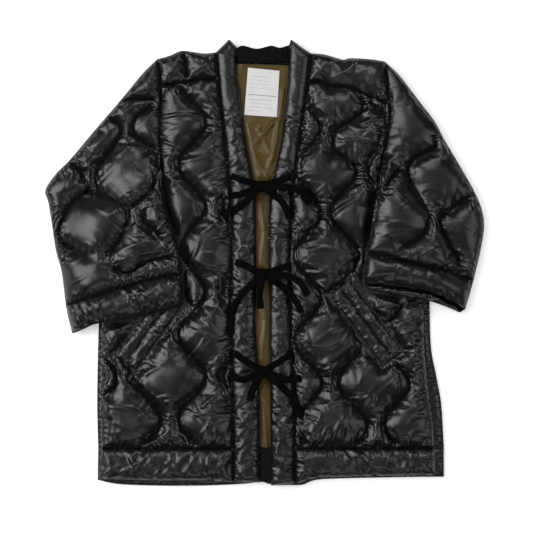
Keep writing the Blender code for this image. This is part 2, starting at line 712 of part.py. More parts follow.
def add_tape(name, surface, knot, points, is_loop):
    """A flat tape that lies on what is below it, or one folded back over itself as a loop."""
    route = curve((leaves_knot(knot, points[0]), *points), TAPE_STEP)
    along = np.gradient(route, axis=0)
    along /= np.linalg.norm(along, axis=1)[:, None]
    across = np.column_stack([-along[:, 1], along[:, 0]])
    under = tape_heights(surface, route, across)
    centres = [Vector((*p, z + 0.5 * TAPE_WALL)) for p, z in zip(route, under)]
    sides = [Vector((*s, 0.0)) for s in across]
    if is_loop:
        tip = centres[-1]
        out = Vector((*along[-1], 0.0))
        for turn in LOOP_TURNS:
            angle = turn * math.pi * 0.5
            centres.append(tip + out * TAPE_FOLD * math.cos(angle)
                           + Vector((0.0, 0.0, TAPE_FOLD * (1.0 + math.sin(angle)))))
            sides.append(sides[len(route) - 1])
        for i in reversed(range(len(route))):
            centres.append(centres[i] + Vector((0.0, 0.0, 2 * TAPE_FOLD)))
            sides.append(sides[i])
    shape = bmesh.new()
    rings = []
    for i, (centre, side) in enumerate(zip(centres, sides)):
        ahead = centres[min(i + 1, len(centres) - 1)] - centres[max(i - 1, 0)]
        up = ahead.normalized().cross(side).normalized() * 0.5 * TAPE_WALL
        wide = side * 0.5 * TAPE_WIDTH
        corners = (centre + wide + up, centre - wide + up, centre - wide - up, centre + wide - up)
        rings.append([shape.verts.new(corner) for corner in corners])
    for before, after in zip(rings, rings[1:]):
        for k in range(4):
            n = (k + 1) % 4
            shape.faces.new((before[k], before[n], after[n], after[k]))
    shape.faces.new(rings[0])
    shape.faces.new(rings[-1])
    surface.add(add_solid(name, "tape", shape))


def add_knot(name, surface, centre):
    """The pulled-tight middle of a bow, resting on both bands."""
    length, width, height = KNOT_SIZE
    lifts = []
    for u in np.linspace(-1, 1, KNOT_PROBES):
        for v in np.linspace(-1, 1, KNOT_PROBES):
            if u * u + v * v < 1.0:
                below = surface.height(centre[0] + 0.5 * length * u, centre[1] + 0.5 * width * v)
                lifts.append(below + 0.5 * height * math.sqrt(1.0 - u * u - v * v))
    shape = bmesh.new()
    around, along = KNOT_RINGS
    bmesh.ops.create_uvsphere(shape, u_segments=around, v_segments=along, radius=0.5)
    bmesh.ops.scale(shape, vec=KNOT_SIZE, verts=shape.verts)
    lift = Vector((*centre, max(lifts) + GAP))
    bmesh.ops.translate(shape, vec=lift, verts=shape.verts)
    add_solid(name, "tape", shape)


def add_snap(name, surface, centre):
    """A low domed snap cap on its welt."""
    offsets = np.linspace(-SNAP_RADIUS, SNAP_RADIUS, SNAP_PROBES)
    below = [surface.height(centre[0] + u, centre[1] + v) for u in offsets for v in offsets]
    rest = max(below) + GAP
    shape = bmesh.new()
    loops = []
    for radius, height in SNAP_PROFILE:
        ring = []
        for i in range(SNAP_SIDES):
            angle = 2 * math.pi * i / SNAP_SIDES
            ring.append(shape.verts.new((centre[0] + SNAP_RADIUS * radius * math.cos(angle),
                                         centre[1] + SNAP_RADIUS * radius * math.sin(angle),
                                         rest + SNAP_HEIGHT * height)))
        loops.append(ring)
    for below, above in zip(loops, loops[1:]):
        for i in range(SNAP_SIDES):
            j = (i + 1) % SNAP_SIDES
            shape.faces.new((below[i], below[j], above[j], above[i]))
    shape.faces.new(loops[0])
    shape.faces.new(loops[-1])
    return add_solid(name, "snap_metal", shape)


def body_outline(side):
    """The back's outline on one side from the armhole's lower end, which the sleeve climbs."""
    sign = -1.0 if side == "right" else 1.0
    armpit, flank = ((ARMPIT_RIGHT, BACK_SIDE_RIGHT) if side == "right"
                     else (ARMPIT_LEFT, BACK_SIDE_LEFT))
    top = armpit[0][1]
    inner = [(0.0, HEM_SEAM_Y), (0.0, top), (sign * BODY_CORNER_X, top)]
    return loop_of(curve(armpit), curve(flank), inner)


def sleeve_cover(side):
    """The area that the sleeve and the cuff hide on the body, down to the cuff's lower lip."""
    if side == "right":
        mouth, cuff, inner = CUFF_MOUTH_RIGHT, CUFF_INNER_RIGHT, INNER_RIGHT
        drop, reach = MOUTH_DROP_RIGHT, -COAT_REACH
    else:
        mouth, cuff, inner = CUFF_MOUTH_LEFT, CUFF_INNER_LEFT, INNER_LEFT
        drop, reach = MOUTH_DROP_LEFT, COAT_REACH
    lip = curve(mouth) - np.array([0.0, drop])
    if side == "left":
        lip = lip[::-1]
        corners = [(reach, lip[-1][1]), (reach, inner[0][1])]
        return loop_of(curve(inner), curve(cuff), lip, corners)
    corners = [(reach, inner[0][1]), (reach, lip[0][1])]
    return loop_of(lip, curve(cuff)[::-1], curve(inner)[::-1], corners)


def build_front(side):
    """Front panel with its stitched waves, its welt's seat and its pressed part."""
    if side == "right":
        shoulder, armhole, armpit = SHOULDER_RIGHT, ARMHOLE_RIGHT, ARMPIT_RIGHT
        flank, seam = FRONT_SIDE_RIGHT, BAND_SEAM_RIGHT
        waves, welt = FRONT_RIGHT_WAVES, WELT_RIGHT
        yoke, extra = curve(YOKE_RIGHT, SLEEVE_LINE_STEP)[::-1], (YOKE_RIGHT, PLEAT_RIGHT)
    else:
        shoulder, armhole, armpit = SHOULDER_LEFT, ARMHOLE_LEFT, ARMPIT_LEFT
        flank, seam = FRONT_SIDE_LEFT, BAND_SEAM_LEFT
        waves, welt = FRONT_LEFT_WAVES, WELT_LEFT
        yoke, extra = curve(YOKE_LEFT, SLEEVE_LINE_STEP), (YOKE_LEFT,)
    outline = loop_of(curve(shoulder), curve(armhole), curve(armpit), curve(flank),
                      curve((flank[-1], seam[-1])), curve(seam)[::-1])
    outline = inset(outline, 0.5 * GAP)
    lines = []
    for index, (centre, lean, crest, way) in enumerate(waves):
        whole = wave(centre, lean, crest, way)
        if side == "left" and index == LEFT_START_WAVE:
            whole = after_start(whole)
        below = whole[:, 1] < np.interp(whole[:, 0], *yoke.T) - LINE_MARGIN
        lines.extend(clipped(whole[below], outline, LINE_MARGIN))
    for points in extra:
        lines.extend(clipped(curve(points, SLEEVE_LINE_STEP), outline, 0.5 * LINE_MARGIN))
    seat = strip(welt[0], welt[1], WELT_SEAT_WIDTH)
    top = front_top(outline, lines, sleeve_cover(side), welt)
    lines = [piece for line in lines for piece in clipped(line, seat, LINE_MARGIN, False)]
    lines.append(np.vstack([seat, seat[:1]]))
    return add_panel("front_" + side, "shell_nylon", outline, top, FRONT_REST, lines)


def build_welt(side):
    """Padded strip on the pocket opening: two lips with the opening's line between them."""
    start, end, seat = WELT_RIGHT if side == "right" else WELT_LEFT
    outline = strip(start, end, WELT_WIDTH)
    opening = curve((start, end), WELT_STEP)[1:-1]
    rest = seat + GAP

    def top(points):
        stitched = [(outline, True), (opening, False)]
        return rest + EDGE_WALL + puffed(points, stitched, WELT_WALL - EDGE_WALL, LIP_REACH)

    return add_panel("welt_" + side, "shell_nylon", outline, top, rest, (opening,), WELT_STEP)


def build_back():
    """Back panel, its hem band and the strip behind the neck, flat on the floor."""
    back = loop_of(curve(SHOULDER_RIGHT)[::-1], curve(NECKLINE), curve(SHOULDER_LEFT),
                   curve(ARMHOLE_LEFT), curve(ARMPIT_LEFT), curve(BACK_SIDE_LEFT),
                   curve(HEM_BACK_SEAM)[::-1], curve(BACK_SIDE_RIGHT)[::-1],
                   curve(ARMPIT_RIGHT)[::-1], curve(ARMHOLE_RIGHT)[::-1])
    hem = loop_of(curve(HEM_BACK_SEAM), curve((HEM_BACK_SEAM[-1], HEM_BACK_EDGE[-1])),
                  curve(HEM_BACK_EDGE)[::-1], curve((HEM_BACK_EDGE[0], HEM_BACK_SEAM[0])))
    neck = loop_of(curve(NECKLINE), [COLLAR_STEP_LEFT, COLLAR_PEAK_LEFT],
                   curve(NAPE_TOP)[::-1], [COLLAR_PEAK_RIGHT])
    for name, outline, roundness in (("back_panel", back, BACK_ROUND),
                                     ("hem_back", hem, BACK_ROUND),
                                     ("band_back", neck, COLLAR_ROUND)):
        outline = inset(outline, 0.5 * GAP)
        add_slab(name, "shell_nylon", outline, 0.0, BACK_WALL, roundness)


def opening_edges():
    """The bands' inner edges between the nape and the hem band."""
    found = []
    for points in (BAND_EDGE_RIGHT, BAND_EDGE_LEFT):
        edge = curve(points)
        found.append(edge[(edge[:, 1] < NECK_BOTTOM) & (edge[:, 1] > HEM_SEAM_Y)])
    return found


def build_inside():
    """What shows in the neck and the opening. Gives the pieces that a bow may touch."""
    right, left = opening_edges()
    tuck = np.array([LINING_TUCK, 0.0])
    top = LINING_REST + LINING_WALL
    lining = add_slab("lining_back", "lining_nylon", loop_of(right - tuck, (left + tuck)[::-1]),
                      LINING_REST, top, SHEET_ROUND)
    facing_top = min(right[-1][1], left[-1][1]) - GAP
    (west, east), (west_end, east_end) = FACING_SIDES, FACING_ENDS
    facing = add_slab("hem_facing", "shell_nylon",
                      loop_of([(west, facing_top), (west, west_end), (east, east_end),
                               (east, facing_top)]), LINING_REST, top, SHEET_ROUND)
    add_slab("label", "label_cloth", np.array(LABEL_CORNERS)[::-1], top + GAP,
             top + GAP + LABEL_WALL, LABEL_ROUND)
    nape = inset(loop_of(curve(NAPE_TOP), curve(NECKLINE[2:5])[::-1]), COLLAR_GAP)

    def nape_top(points):
        return LINING_REST + NAPE_WALL + puffed(points, [(nape, True)], NAPE_PUFF, NAPE_REACH)

    add_panel("nape_facing", "nape_pile", nape, nape_top, LINING_REST, step=NAPE_STEP)
    return [lining, facing]


def build_bands():
    """The two front bands and the two front stretches of the hem band."""
    found = []
    bands = (
        ("right", BAND_SEAM_RIGHT, BAND_EDGE_RIGHT, [COLLAR_PEAK_RIGHT], HEM_EDGE_RIGHT[-1]),
        ("left", BAND_SEAM_LEFT, BAND_EDGE_LEFT, [COLLAR_PEAK_LEFT, COLLAR_STEP_LEFT],
         HEM_EDGE_LEFT[0]),
    )
    for side, seam, edge, peak, hem_corner in bands:
        outline = loop_of(curve(seam), curve((seam[-1], hem_corner)), curve(edge)[::-1], peak)
        outline = inset(outline, 0.5 * GAP)
        found.append(add_panel("band_" + side, "shell_nylon", outline, band_top(outline),
                               FRONT_REST, step=BAND_STEP))
    hems = (
        ("right", FRONT_SIDE_RIGHT[-1], BAND_SEAM_RIGHT[-1], curve(HEM_EDGE_RIGHT)),
        ("left", FRONT_SIDE_LEFT[-1], BAND_SEAM_LEFT[-1], curve(HEM_EDGE_LEFT)[::-1]),
    )
    for side, outer, inner, low in hems:
        outline = loop_of(curve((inner, outer)), curve((outer, low[0])), low,
                          curve((low[-1], inner)))
        outline = inset(outline, 0.5 * GAP)
        found.append(add_panel("hem_front_" + side, "shell_nylon", outline, band_top(outline),
                               FRONT_REST))
    return found


def build_sleeves():
    """Each sleeve with its cuff, folded down over the body."""
    sleeves = (
        ("right", (FOLD_RIGHT, CUFF_SEAM_RIGHT, INNER_RIGHT[::-1], ARMHOLE_RIGHT[::-1]),
         (CUFF_FOLD_RIGHT, CUFF_MOUTH_RIGHT, CUFF_INNER_RIGHT[::-1], CUFF_SEAM_RIGHT[::-1]),
         SLEEVE_RIGHT_WAVES, MOUTH_DROP_RIGHT),
        ("left", (FOLD_LEFT, CUFF_SEAM_LEFT, INNER_LEFT[::-1], ARMHOLE_LEFT[::-1]),
         (CUFF_FOLD_LEFT, CUFF_MOUTH_LEFT, CUFF_INNER_LEFT[::-1], CUFF_SEAM_LEFT[::-1]),
         SLEEVE_LEFT_WAVES, MOUTH_DROP_LEFT),
    )
    for side, sleeve_edges, cuff_edges, waves, drop in sleeves:
        body = body_outline(side)
        lines = [curve(points, SLEEVE_LINE_STEP) for points in waves]
        add_tube("sleeve_" + side, [curve(points) for points in sleeve_edges], lines, body, 0.0)
        add_tube("cuff_" + side, [curve(points) for points in cuff_edges], (), body, drop)


def build_bows(surface):
    """Every tape and knot, each on what already lies below it."""
    for bow, centre, strands in BOWS:
        for strand, is_loop, points in strands:
            add_tape(f"bow_{bow}_{strand}", surface, centre, points, is_loop)
        add_knot(f"bow_{bow}_knot", surface, centre)


def build_all():
    """Every piece of the coat, from the floor up."""
    clear_scene()
    build_back()
    carried = build_inside()
    carried.extend(build_front(side) for side in ("right", "left"))
    carried.extend(build_bands())
    build_sleeves()
    carried.extend(build_welt(side) for side in ("right", "left"))
    surface = Surface(carried)
    add_snap("snap_right", surface, SNAP_RIGHT)
    add_snap("snap_left", surface, SNAP_LEFT)
    build_bows(surface)


build_all()
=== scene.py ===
"""Looks of the padded overcoat: simulated quilting, stitching, wrinkled lining, tape bows.

Metres, +Z up, the same frame as the solids. Pieces are named by the wearer's side, so the right
ones are at -X. The outlines repeat the ones that the solids are built from.
"""
import math

import bpy
import numpy as np
from mathutils import Matrix, Vector
from mathutils.bvhtree import BVHTree
from mathutils.geometry import delaunay_2d_cdt


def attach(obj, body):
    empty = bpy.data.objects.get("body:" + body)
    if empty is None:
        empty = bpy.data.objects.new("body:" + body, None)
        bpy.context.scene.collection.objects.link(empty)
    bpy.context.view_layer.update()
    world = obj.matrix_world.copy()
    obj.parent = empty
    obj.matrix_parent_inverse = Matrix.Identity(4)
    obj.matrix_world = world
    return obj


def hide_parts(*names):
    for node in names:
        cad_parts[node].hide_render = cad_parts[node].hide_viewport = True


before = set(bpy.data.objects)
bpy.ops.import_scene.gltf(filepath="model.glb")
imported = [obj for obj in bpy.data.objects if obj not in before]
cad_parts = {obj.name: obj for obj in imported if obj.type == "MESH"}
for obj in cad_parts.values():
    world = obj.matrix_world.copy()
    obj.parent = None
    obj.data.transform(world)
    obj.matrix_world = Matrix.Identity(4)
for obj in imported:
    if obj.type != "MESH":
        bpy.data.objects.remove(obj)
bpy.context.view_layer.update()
SIDES = ("right", "left")
WAY = {"right": -1.0, "left": 1.0}

# Camera: straight above the coat, with the photograph's width at the height of the fronts
PHOTO_WIDTH = 1.0127
CAMERA_AIM = (0.0033, -0.0067)
CAMERA_PLANE = 0.022
CAMERA_DISTANCE = 4.0
SENSOR = 36.0

# Floor and surround
FLOOR_HALF = 6.0
FLOOR_DROP = 0.0005
FLOOR_GLOW = 0.34
SURROUND = 0.08
WHITE = (1.0, 1.0, 1.0, 1.0)

# Soft boxes: place, size, power. The large one above gives the cloth its even sheen.
SOFT_BOXES = (
    ("soft_box_above", (-0.9, 0.3, 4.6), (3.2, 3.2), 20.5),
    ("soft_box_right", (-1.9, 0.3, 1.8), (1.8, 1.8), 55.0),
    ("soft_box_neck", (0.2, 1.6, 1.8), (1.4, 0.8), 15.0),
    ("soft_box_left", (1.9, 0.0, 1.8), (1.4, 1.6), 13.0),
    ("soft_box_hem", (0.2, -1.9, 1.7), (1.8, 1.0), 8.0),
)

# Cloth and wadding, as in the solids
GAP = 0.0003
BACK_WALL = 0.010
LINING_WALL = 0.001
LABEL_WALL = 0.0008
SEAM_WALL = 0.0035
EDGE_WALL = 0.0015
SIDE_EASE = 0.012
PUFF = 0.015
PUFF_REACH = 0.040
PUFF_CROWN = 0.85
ROLL_SHARE = 0.22
ROLL_REACH = 0.0044
BAND_PUFF = 0.010
BAND_REACH = 0.018
BAND_SMOOTH_START = 0.250
BAND_SMOOTH_LENGTH = 0.070
LINING_REST = BACK_WALL + GAP
FRONT_REST = LINING_REST + LINING_WALL + GAP
OVER_BODY = 0.020
RAMP_START = 0.015
RAMP_LENGTH = 0.060
PRESS_START = 0.000
PRESS_LENGTH = 0.026
PRESSED_SHARE = 0.08
SLEEVE_SLIT = 0.001
LINE_MARGIN = 0.006
SLEEVE_LINE_MARGIN = 0.0025

# Lower wall of a sleeve or cuff: how far it is undercut, eased towards the corners, and its side
EDGE_UNDERCUT = 0.008
CORNER_EASE = 0.024
EDGE_OUT = 0.0006
EDGE_LEVEL = 0.45

# Plain pieces: level, rise of the soft crown over it, reach of the crown, looseness
BACK_ROLL = (0.0040, 0.0056, 0.010, 1.0)
FACING_ROLL = (LINING_REST + LINING_WALL - 0.0001, 0.0, 0.010, 0.1)
LABEL_ROLL = (LINING_REST + LINING_WALL + GAP + LABEL_WALL, 0.0004, 0.020, 0.12)
NAPE_ROLL = (LINING_REST + 0.003, 0.005, 0.012, 0.7)

# Mesh steps
STEP = 0.0040
UNDER_STEP = 0.020
BACK_STEP = 0.006
NAPE_STEP = 0.003
WELT_STEP = 0.0026
CURVE_CUTS = 12
GRID_CLEAR = 0.6
LEAST_STRETCH = 0.5
CHUNK = 1500
SAME_SPOT = 0.001
HELD_WITHIN = 0.0004
MERGE_WITHIN = 1e-6
TINY = 1e-9
PROBES = 7
STRAND_SIDES = 8

# Weights of Loop's subdivision: a new point's edge and wings, an old point and its neighbours
EDGE_WEIGHT = 0.75
WING_WEIGHT = 0.125
OWN_WEIGHT = 0.625
RING_WEIGHT = 0.375

# Seeds of the random draws, by piece or by detail
SEEDS = {
    "front_right": 11, "front_left": 12, "sleeve_right": 21, "sleeve_left": 22,
    "cuff_right": 31, "cuff_left": 32, "band_right": 31, "band_left": 32,
    "hem_front_right": 33, "hem_front_left": 34, "welt_right": 41, "welt_left": 42,
    "lining_back": 52, "hem_facing": 53, "label": 54, "nape_facing": 55,
    "back_panel": 61, "hem_back": 61, "band_back": 61,
    "welt_crumple": 43, "lining_swell": 51, "bows": 71, "piping": 81,
    "lip_folds": 91, "lip_patches": 92,
}

# Cloth simulation, on a copy ten times as large, which suits the solver
SIM_SCALE = 10.0
SIM_FRAMES = 26
SIM_QUALITY = 5
SIM_STRETCH = 15.0
SIM_SHEAR = 5.0
SIM_PRESSURE = 1.6
SIM_MASS = 0.05
SIM_BENDING = 5.0
SLACK_SEAM = -0.040
SLACK_OPEN = -0.010
SLACK_REACH = 0.030
WADDING_HOLD = 0.08
TAUT_HOLD = 0.8
MOVE_CAP = 0.0080
SINK_SHARE = 0.45
SINK_DEPTH = 0.008

# Looseness, 1 where the cloth is free: in the bands and how much less at the neck, under a sleeve,
# on the seat of a welt and on the welt itself
BAND_LOOSE = 0.80
BAND_TAUT = 0.62
PRESSED_LOOSE = 0.1
SEAT_LOOSE = 0.3
WELT_LOOSE = 0.8

# Gathers in the necks between stitched lines
RUCHE_HEIGHT = 0.0028
RUCHE_LENGTH = 0.020
RUCHE_SWAY = 0.007
RUCHE_SWAY_LENGTH = 0.05
RUCHE_SLANT = (0.8, 0.6)
RUCHE_PATCH = 0.16
RUCHE_TURN = 0.25
PLAIN_RUCHE = 0.0012
NECK_WIDTH = 0.024
NECK_EASE = 0.020
SEAM_EASE = 0.003
GATHER_CALMS = 0.7
CALM_SHARE = 0.35

# Slow swell of the cloth before it is inflated
SWELL_HEIGHT = 0.0016
BAND_SWELL = 0.0022
HEM_SWELL = 0.0024
SWELL_CLEAR = 0.006
SWELL_EASE = 0.02

# Random folds along a direction: heights of the crests, their unevenness, spare ones at the end
RIPPLE_CRESTS = (0.35, 1.0)
RIPPLE_UNEVEN = 0.25
RIPPLE_SPARE = 4

# Random field: typical length, number of plane waves, range of their lengths, overall scale
FIELD_LENGTH = 0.070
FIELD_WAVES = 14
FIELD_SIZES = (0.5, 1.6)
FIELD_SCALE = 0.98

# Creases that start at seams: gap between them, length, lean in degrees, height, half width
QUILT_FOLDS = (0.016, 0.060, 42.0, 0.0020, 0.0036)
BAND_FOLDS = (0.030, 0.064, 60.0, 0.0026, 0.0044)
HEM_FOLDS = (0.026, 0.070, 50.0, 0.0026, 0.0044)
CUFF_FOLDS = (0.026, 0.066, 44.0, 0.0026, 0.0044)
SLEEVE_FOLDS = (0.018, 0.058, 42.0, 0.0019, 0.0038)
WELT_FOLDS = (0.009, 0.028, 32.0, 0.0034, 0.0028)
BACK_FOLDS = (0.008, 0.018, 24.0, -0.0030, 0.0026)
PUCKERS = (0.0075, 0.014, 22.0, 0.0018, 0.0022)
CLUSTER = 0.110

# How much a scattered crease varies, as shares of the values above
FOLD_POINTS = 6
FOLD_BEND = 0.35
FOLD_LENGTHS = (0.45, 1.35)
FOLD_STRENGTHS = (0.5, 1.3)
FOLD_BREADTHS = (0.7, 1.4)
FOLD_GAPS = (0.35, 1.65)

# Section and fade of a crease: how far it is felt, its valley, its fade towards its ends
FOLD_MARGIN = 3.0
VALLEY_DEPTH = 0.55
VALLEY_PLACE = 1.9
FADE_START = 0.08
FADE_SPAN = 0.84
FADE_POWER = 0.7

# Stitched waves of the fronts: centre, lean, height of a crest, side of the crest
WAVE_LENGTH = 0.162
WAVE_SWING = 0.026
WAVE_TOP = 0.400
WAVE_CUTS = 10
FRONT_WAVES = {
    "right": (
        (-0.3090, 0.000, 0.268, 1),
        (-0.2235, 0.000, 0.268, -1),
        (-0.1380, 0.000, 0.268, 1),
        (-0.0525, 0.000, 0.268, -1),
    ),
    "left": (
        (0.0810, -0.008, -0.067, 1),
        (0.1560, -0.045, -0.067, -1),
        (0.2340, -0.065, -0.067, 1),
        (0.3150, -0.080, -0.067, -1),
    ),
}

# The second wave on the left front starts with its own bends and is regular below this height
LEFT_START = ((0.184, 0.320), (0.188, 0.302), (0.184, 0.289), (0.172, 0.276), (0.157, 0.267),
              (0.141, 0.258), (0.131, 0.245), (0.130, 0.222), (0.137, 0.210), (0.156, 0.200),
              (0.169, 0.187))
LEFT_START_WAVE = 1

# Seams that close the quilting below each shoulder, from the band to the armhole, and the pleat
# above the right one
YOKE_CALM = 0.345
SLEEVE_CALM = {"right": 0.235, "left": 0.190}
CALM_EASE = 0.040
YOKE = {
    "right": ((-0.082, 0.352), (-0.1245, 0.350), (-0.147, 0.346), (-0.196, 0.338)),
    "left": ((0.085, 0.344), (0.105, 0.346), (0.126, 0.337), (0.153, 0.336), (0.172, 0.331),
             (0.210, 0.312), (0.231, 0.306)),
}
PLEATS = {
    "right": (((-0.154, 0.398), (-0.150, 0.376), (-0.148, 0.354)),),
    "left": (),
}

# Outlines, neck to hem
SHOULDER = {
    "right": ((-0.093, 0.401), (-0.117, 0.399), (-0.157, 0.404), (-0.180, 0.395),
              (-0.205, 0.388)),
    "left": ((0.088, 0.399), (0.114, 0.397), (0.149, 0.387), (0.162, 0.390), (0.200, 0.388),
             (0.228, 0.384)),
}
ARMHOLE = {
    "right": ((-0.205, 0.388), (-0.199, 0.348), (-0.198, 0.291), (-0.199, 0.215),
              (-0.198, 0.146)),
    "left": ((0.228, 0.384), (0.234, 0.329), (0.238, 0.287), (0.234, 0.249), (0.227, 0.215),
             (0.222, 0.180), (0.219, 0.146)),
}
ARMPIT = {
    "right": ((-0.198, 0.146), (-0.210, 0.120), (-0.241, 0.097), (-0.285, 0.078)),
    "left": ((0.219, 0.146), (0.230, 0.120), (0.253, 0.097), (0.284, 0.072)),
}
BACK_SIDE = {
    "right": ((-0.285, 0.078), (-0.302, 0.044), (-0.311, -0.032), (-0.317, -0.118),
              (-0.320, -0.260), (-0.318, -0.353)),
    "left": ((0.284, 0.072), (0.297, 0.044), (0.308, -0.004), (0.314, -0.051), (0.317, -0.156),
             (0.327, -0.213), (0.337, -0.270), (0.342, -0.352)),
}
FRONT_SIDE = {
    "right": ((-0.285, 0.078), (-0.296, 0.044), (-0.304, -0.032), (-0.310, -0.118),
              (-0.313, -0.260), (-0.311, -0.353)),
    "left": ((0.284, 0.072), (0.289, 0.044), (0.301, -0.051), (0.303, -0.156), (0.310, -0.232),
             (0.319, -0.298), (0.323, -0.352)),
}
BAND_SEAM = {
    "right": ((-0.093, 0.401), (-0.087, 0.329), (-0.077, 0.243), (-0.068, 0.158), (-0.063, 0.063),
              (-0.065, -0.051), (-0.063, -0.165), (-0.060, -0.353)),
    "left": ((0.088, 0.399), (0.082, 0.348), (0.075, 0.291), (0.067, 0.234), (0.054, 0.139),
             (0.049, 0.063), (0.048, -0.051), (0.051, -0.156), (0.057, -0.260), (0.057, -0.353)),
}
BAND_EDGE = {
    "right": ((-0.053, 0.411), (-0.053, 0.357), (-0.047, 0.319), (-0.036, 0.234), (-0.022, 0.162),
              (-0.017, 0.120), (-0.016, -0.010), (-0.017, -0.120), (-0.011, -0.213),
              (-0.009, -0.298), (-0.009, -0.418)),
    "left": ((0.046, 0.416), (0.044, 0.348), (0.040, 0.310), (0.031, 0.234), (0.019, 0.177),
             (0.011, 0.139), (0.007, 0.091), (0.006, 0.002), (0.009, -0.070), (0.008, -0.146),
             (0.010, -0.232), (0.012, -0.424)),
}
COLLAR_TOP = {
    "right": ((-0.068, 0.426),),
    "left": ((0.050, 0.426), (0.073, 0.409)),
}
OPENING_TOP = 0.379
NECKLINE = ((-0.093, 0.401), (-0.076, 0.390), (-0.053, 0.381), (-0.005, 0.379),
            (0.046, 0.381), (0.069, 0.390), (0.088, 0.399))
NAPE_TOP = ((-0.053, 0.411), (-0.041, 0.415), (-0.015, 0.409), (0.012, 0.415),
            (0.028, 0.411), (0.046, 0.416))
OUTER = {
    "right": ((-0.205, 0.388), (-0.231, 0.363), (-0.275, 0.310), (-0.324, 0.253), (-0.372, 0.196),
              (-0.397, 0.171), (-0.418, 0.139), (-0.412, 0.114), (-0.404, 0.063), (-0.397, 0.019),
              (-0.387, -0.017), (-0.379, -0.080)),
    "left": ((0.228, 0.384), (0.257, 0.357), (0.293, 0.310), (0.325, 0.268), (0.344, 0.232),
             (0.369, 0.190), (0.398, 0.139), (0.413, 0.104), (0.418, 0.070), (0.411, 0.023),
             (0.398, -0.032)),
}
INNER = {
    "right": ((-0.198, 0.146), (-0.191, 0.114), (-0.176, 0.063), (-0.163, 0.025),
              (-0.156, -0.023)),
    "left": ((0.219, 0.146), (0.210, 0.114), (0.203, 0.072), (0.193, 0.019)),
}
CUFF_SEAM = {
    "right": ((-0.379, -0.080), (-0.342, -0.068), (-0.285, -0.051), (-0.228, -0.034),
              (-0.193, -0.026), (-0.156, -0.023)),
    "left": ((0.398, -0.032), (0.342, -0.014), (0.304, -0.006), (0.257, 0.007), (0.193, 0.019)),
}
CUFF_FOLD = {
    "right": ((-0.379, -0.080), (-0.374, -0.104), (-0.366, -0.134)),
    "left": ((0.398, -0.032), (0.390, -0.061), (0.382, -0.088)),
}
CUFF_INNER = {
    "right": ((-0.156, -0.023), (-0.154, -0.051), (-0.155, -0.080)),
    "left": ((0.193, 0.019), (0.187, -0.034)),
}
CUFF_MOUTH = {
    "right": ((-0.366, -0.134), (-0.342, -0.122), (-0.317, -0.112), (-0.256, -0.104),
              (-0.209, -0.093), (-0.155, -0.080)),
    "left": ((0.382, -0.088), (0.342, -0.065), (0.304, -0.050), (0.266, -0.044), (0.228, -0.038),
             (0.187, -0.034)),
}
MOUTH_DROP = {"right": 0.003, "left": 0.020}
HEM_BACK_SEAM = ((-0.318, -0.353), (-0.161, -0.357), (0.000, -0.359), (0.162, -0.355),
                 (0.342, -0.352))
HEM_BACK_EDGE = ((-0.319, -0.414), (-0.279, -0.422), (-0.209, -0.425), (-0.123, -0.425),
                 (-0.047, -0.422), (-0.005, -0.418), (0.010, -0.422), (0.067, -0.424),
                 (0.090, -0.416), (0.124, -0.412), (0.257, -0.409), (0.342, -0.408))
HEM_EDGE = {
    "right": ((-0.318, -0.412), (-0.279, -0.412), (-0.209, -0.414), (-0.123, -0.414),
              (-0.060, -0.417)),
    "left": ((0.057, -0.422), (0.090, -0.411), (0.124, -0.408), (0.257, -0.405), (0.325, -0.404)),
}
LABEL_CORNERS = ((-0.032, 0.372), (0.028, 0.366), (0.023, 0.278), (-0.039, 0.282))
LINING_TUCK = 0.012
NAPE_INSET = 0.001
FACING_SIDES = (-0.024, 0.026)
FACING_LOW = (-0.414, -0.416)
HEM_SEAM_Y = -0.353
COAT_REACH = 0.420

# Lower lip of a cuff: its arc, the recess above it, and its crumples in metres and shares
LIP_ARC = (0.08, 0.80)
LIP_EASE = 6.0
LIP_RECESS = 0.014
RECESS_EASE = 3.0
LIP_ROWS = 14
LIP_HEIGHT = 0.0046
LIP_LEVEL = 0.6
LIP_CRUMPLE = 0.5
LIP_FOLD = 0.024
LIP_PATCH = 0.026
LIP_RAGGED = 0.0019
LIP_TEETH = 0.014
LIP_RISE = (0.003, 0.008)
LIP_FAR = (0.8, 0.2)
LIP_FAR_DROP = 0.6
LIP_DIP = 0.0060
LIP_DIP_IN = (-0.006, 0.005)
LIP_DIP_OUT = (0.003, 0.007)

# Stitched lines of the sleeves, and the direction of the gathers between them
SLEEVE_WAVES = {
    "right": (
        ((-0.273, 0.306), (-0.248, 0.3135), (-0.2085, 0.3116)),
        ((-0.371, 0.190), (-0.351, 0.174), (-0.345, 0.160)),
        ((-0.300, 0.279), (-0.273, 0.257), (-0.290, 0.219), (-0.317, 0.183), (-0.320, 0.146),
         (-0.290, 0.125), (-0.257, 0.106)),
        ((-0.215, 0.300), (-0.247, 0.275), (-0.247, 0.243), (-0.205, 0.217)),
        ((-0.200, 0.180), (-0.212, 0.144), (-0.237, 0.118), (-0.256, 0.102), (-0.258, 0.080),
         (-0.277, 0.040), (-0.296, 0.018)),
        ((-0.331, 0.141), (-0.370, 0.110), (-0.393, 0.057), (-0.368, 0.026), (-0.336, 0.015)),
        ((-0.231, 0.095), (-0.225, 0.076), (-0.197, 0.052)),
        ((-0.287, -0.010), (-0.256, -0.018), (-0.222, 0.003), (-0.172, 0.014)),
    ),
    "left": (
        ((0.325, 0.234), (0.320, 0.218), (0.280, 0.196), (0.273, 0.167), (0.295, 0.123),
         (0.312, 0.088), (0.300, 0.053), (0.265, 0.030)),
        ((0.388, 0.122), (0.350, 0.100), (0.333, 0.077), (0.350, 0.040), (0.372, 0.002)),
        ((0.257, 0.180), (0.238, 0.158), (0.226, 0.138)),
    ),
}
SLEEVE_WAY = {"right": (-0.64, -0.77), "left": (0.64, -0.77)}

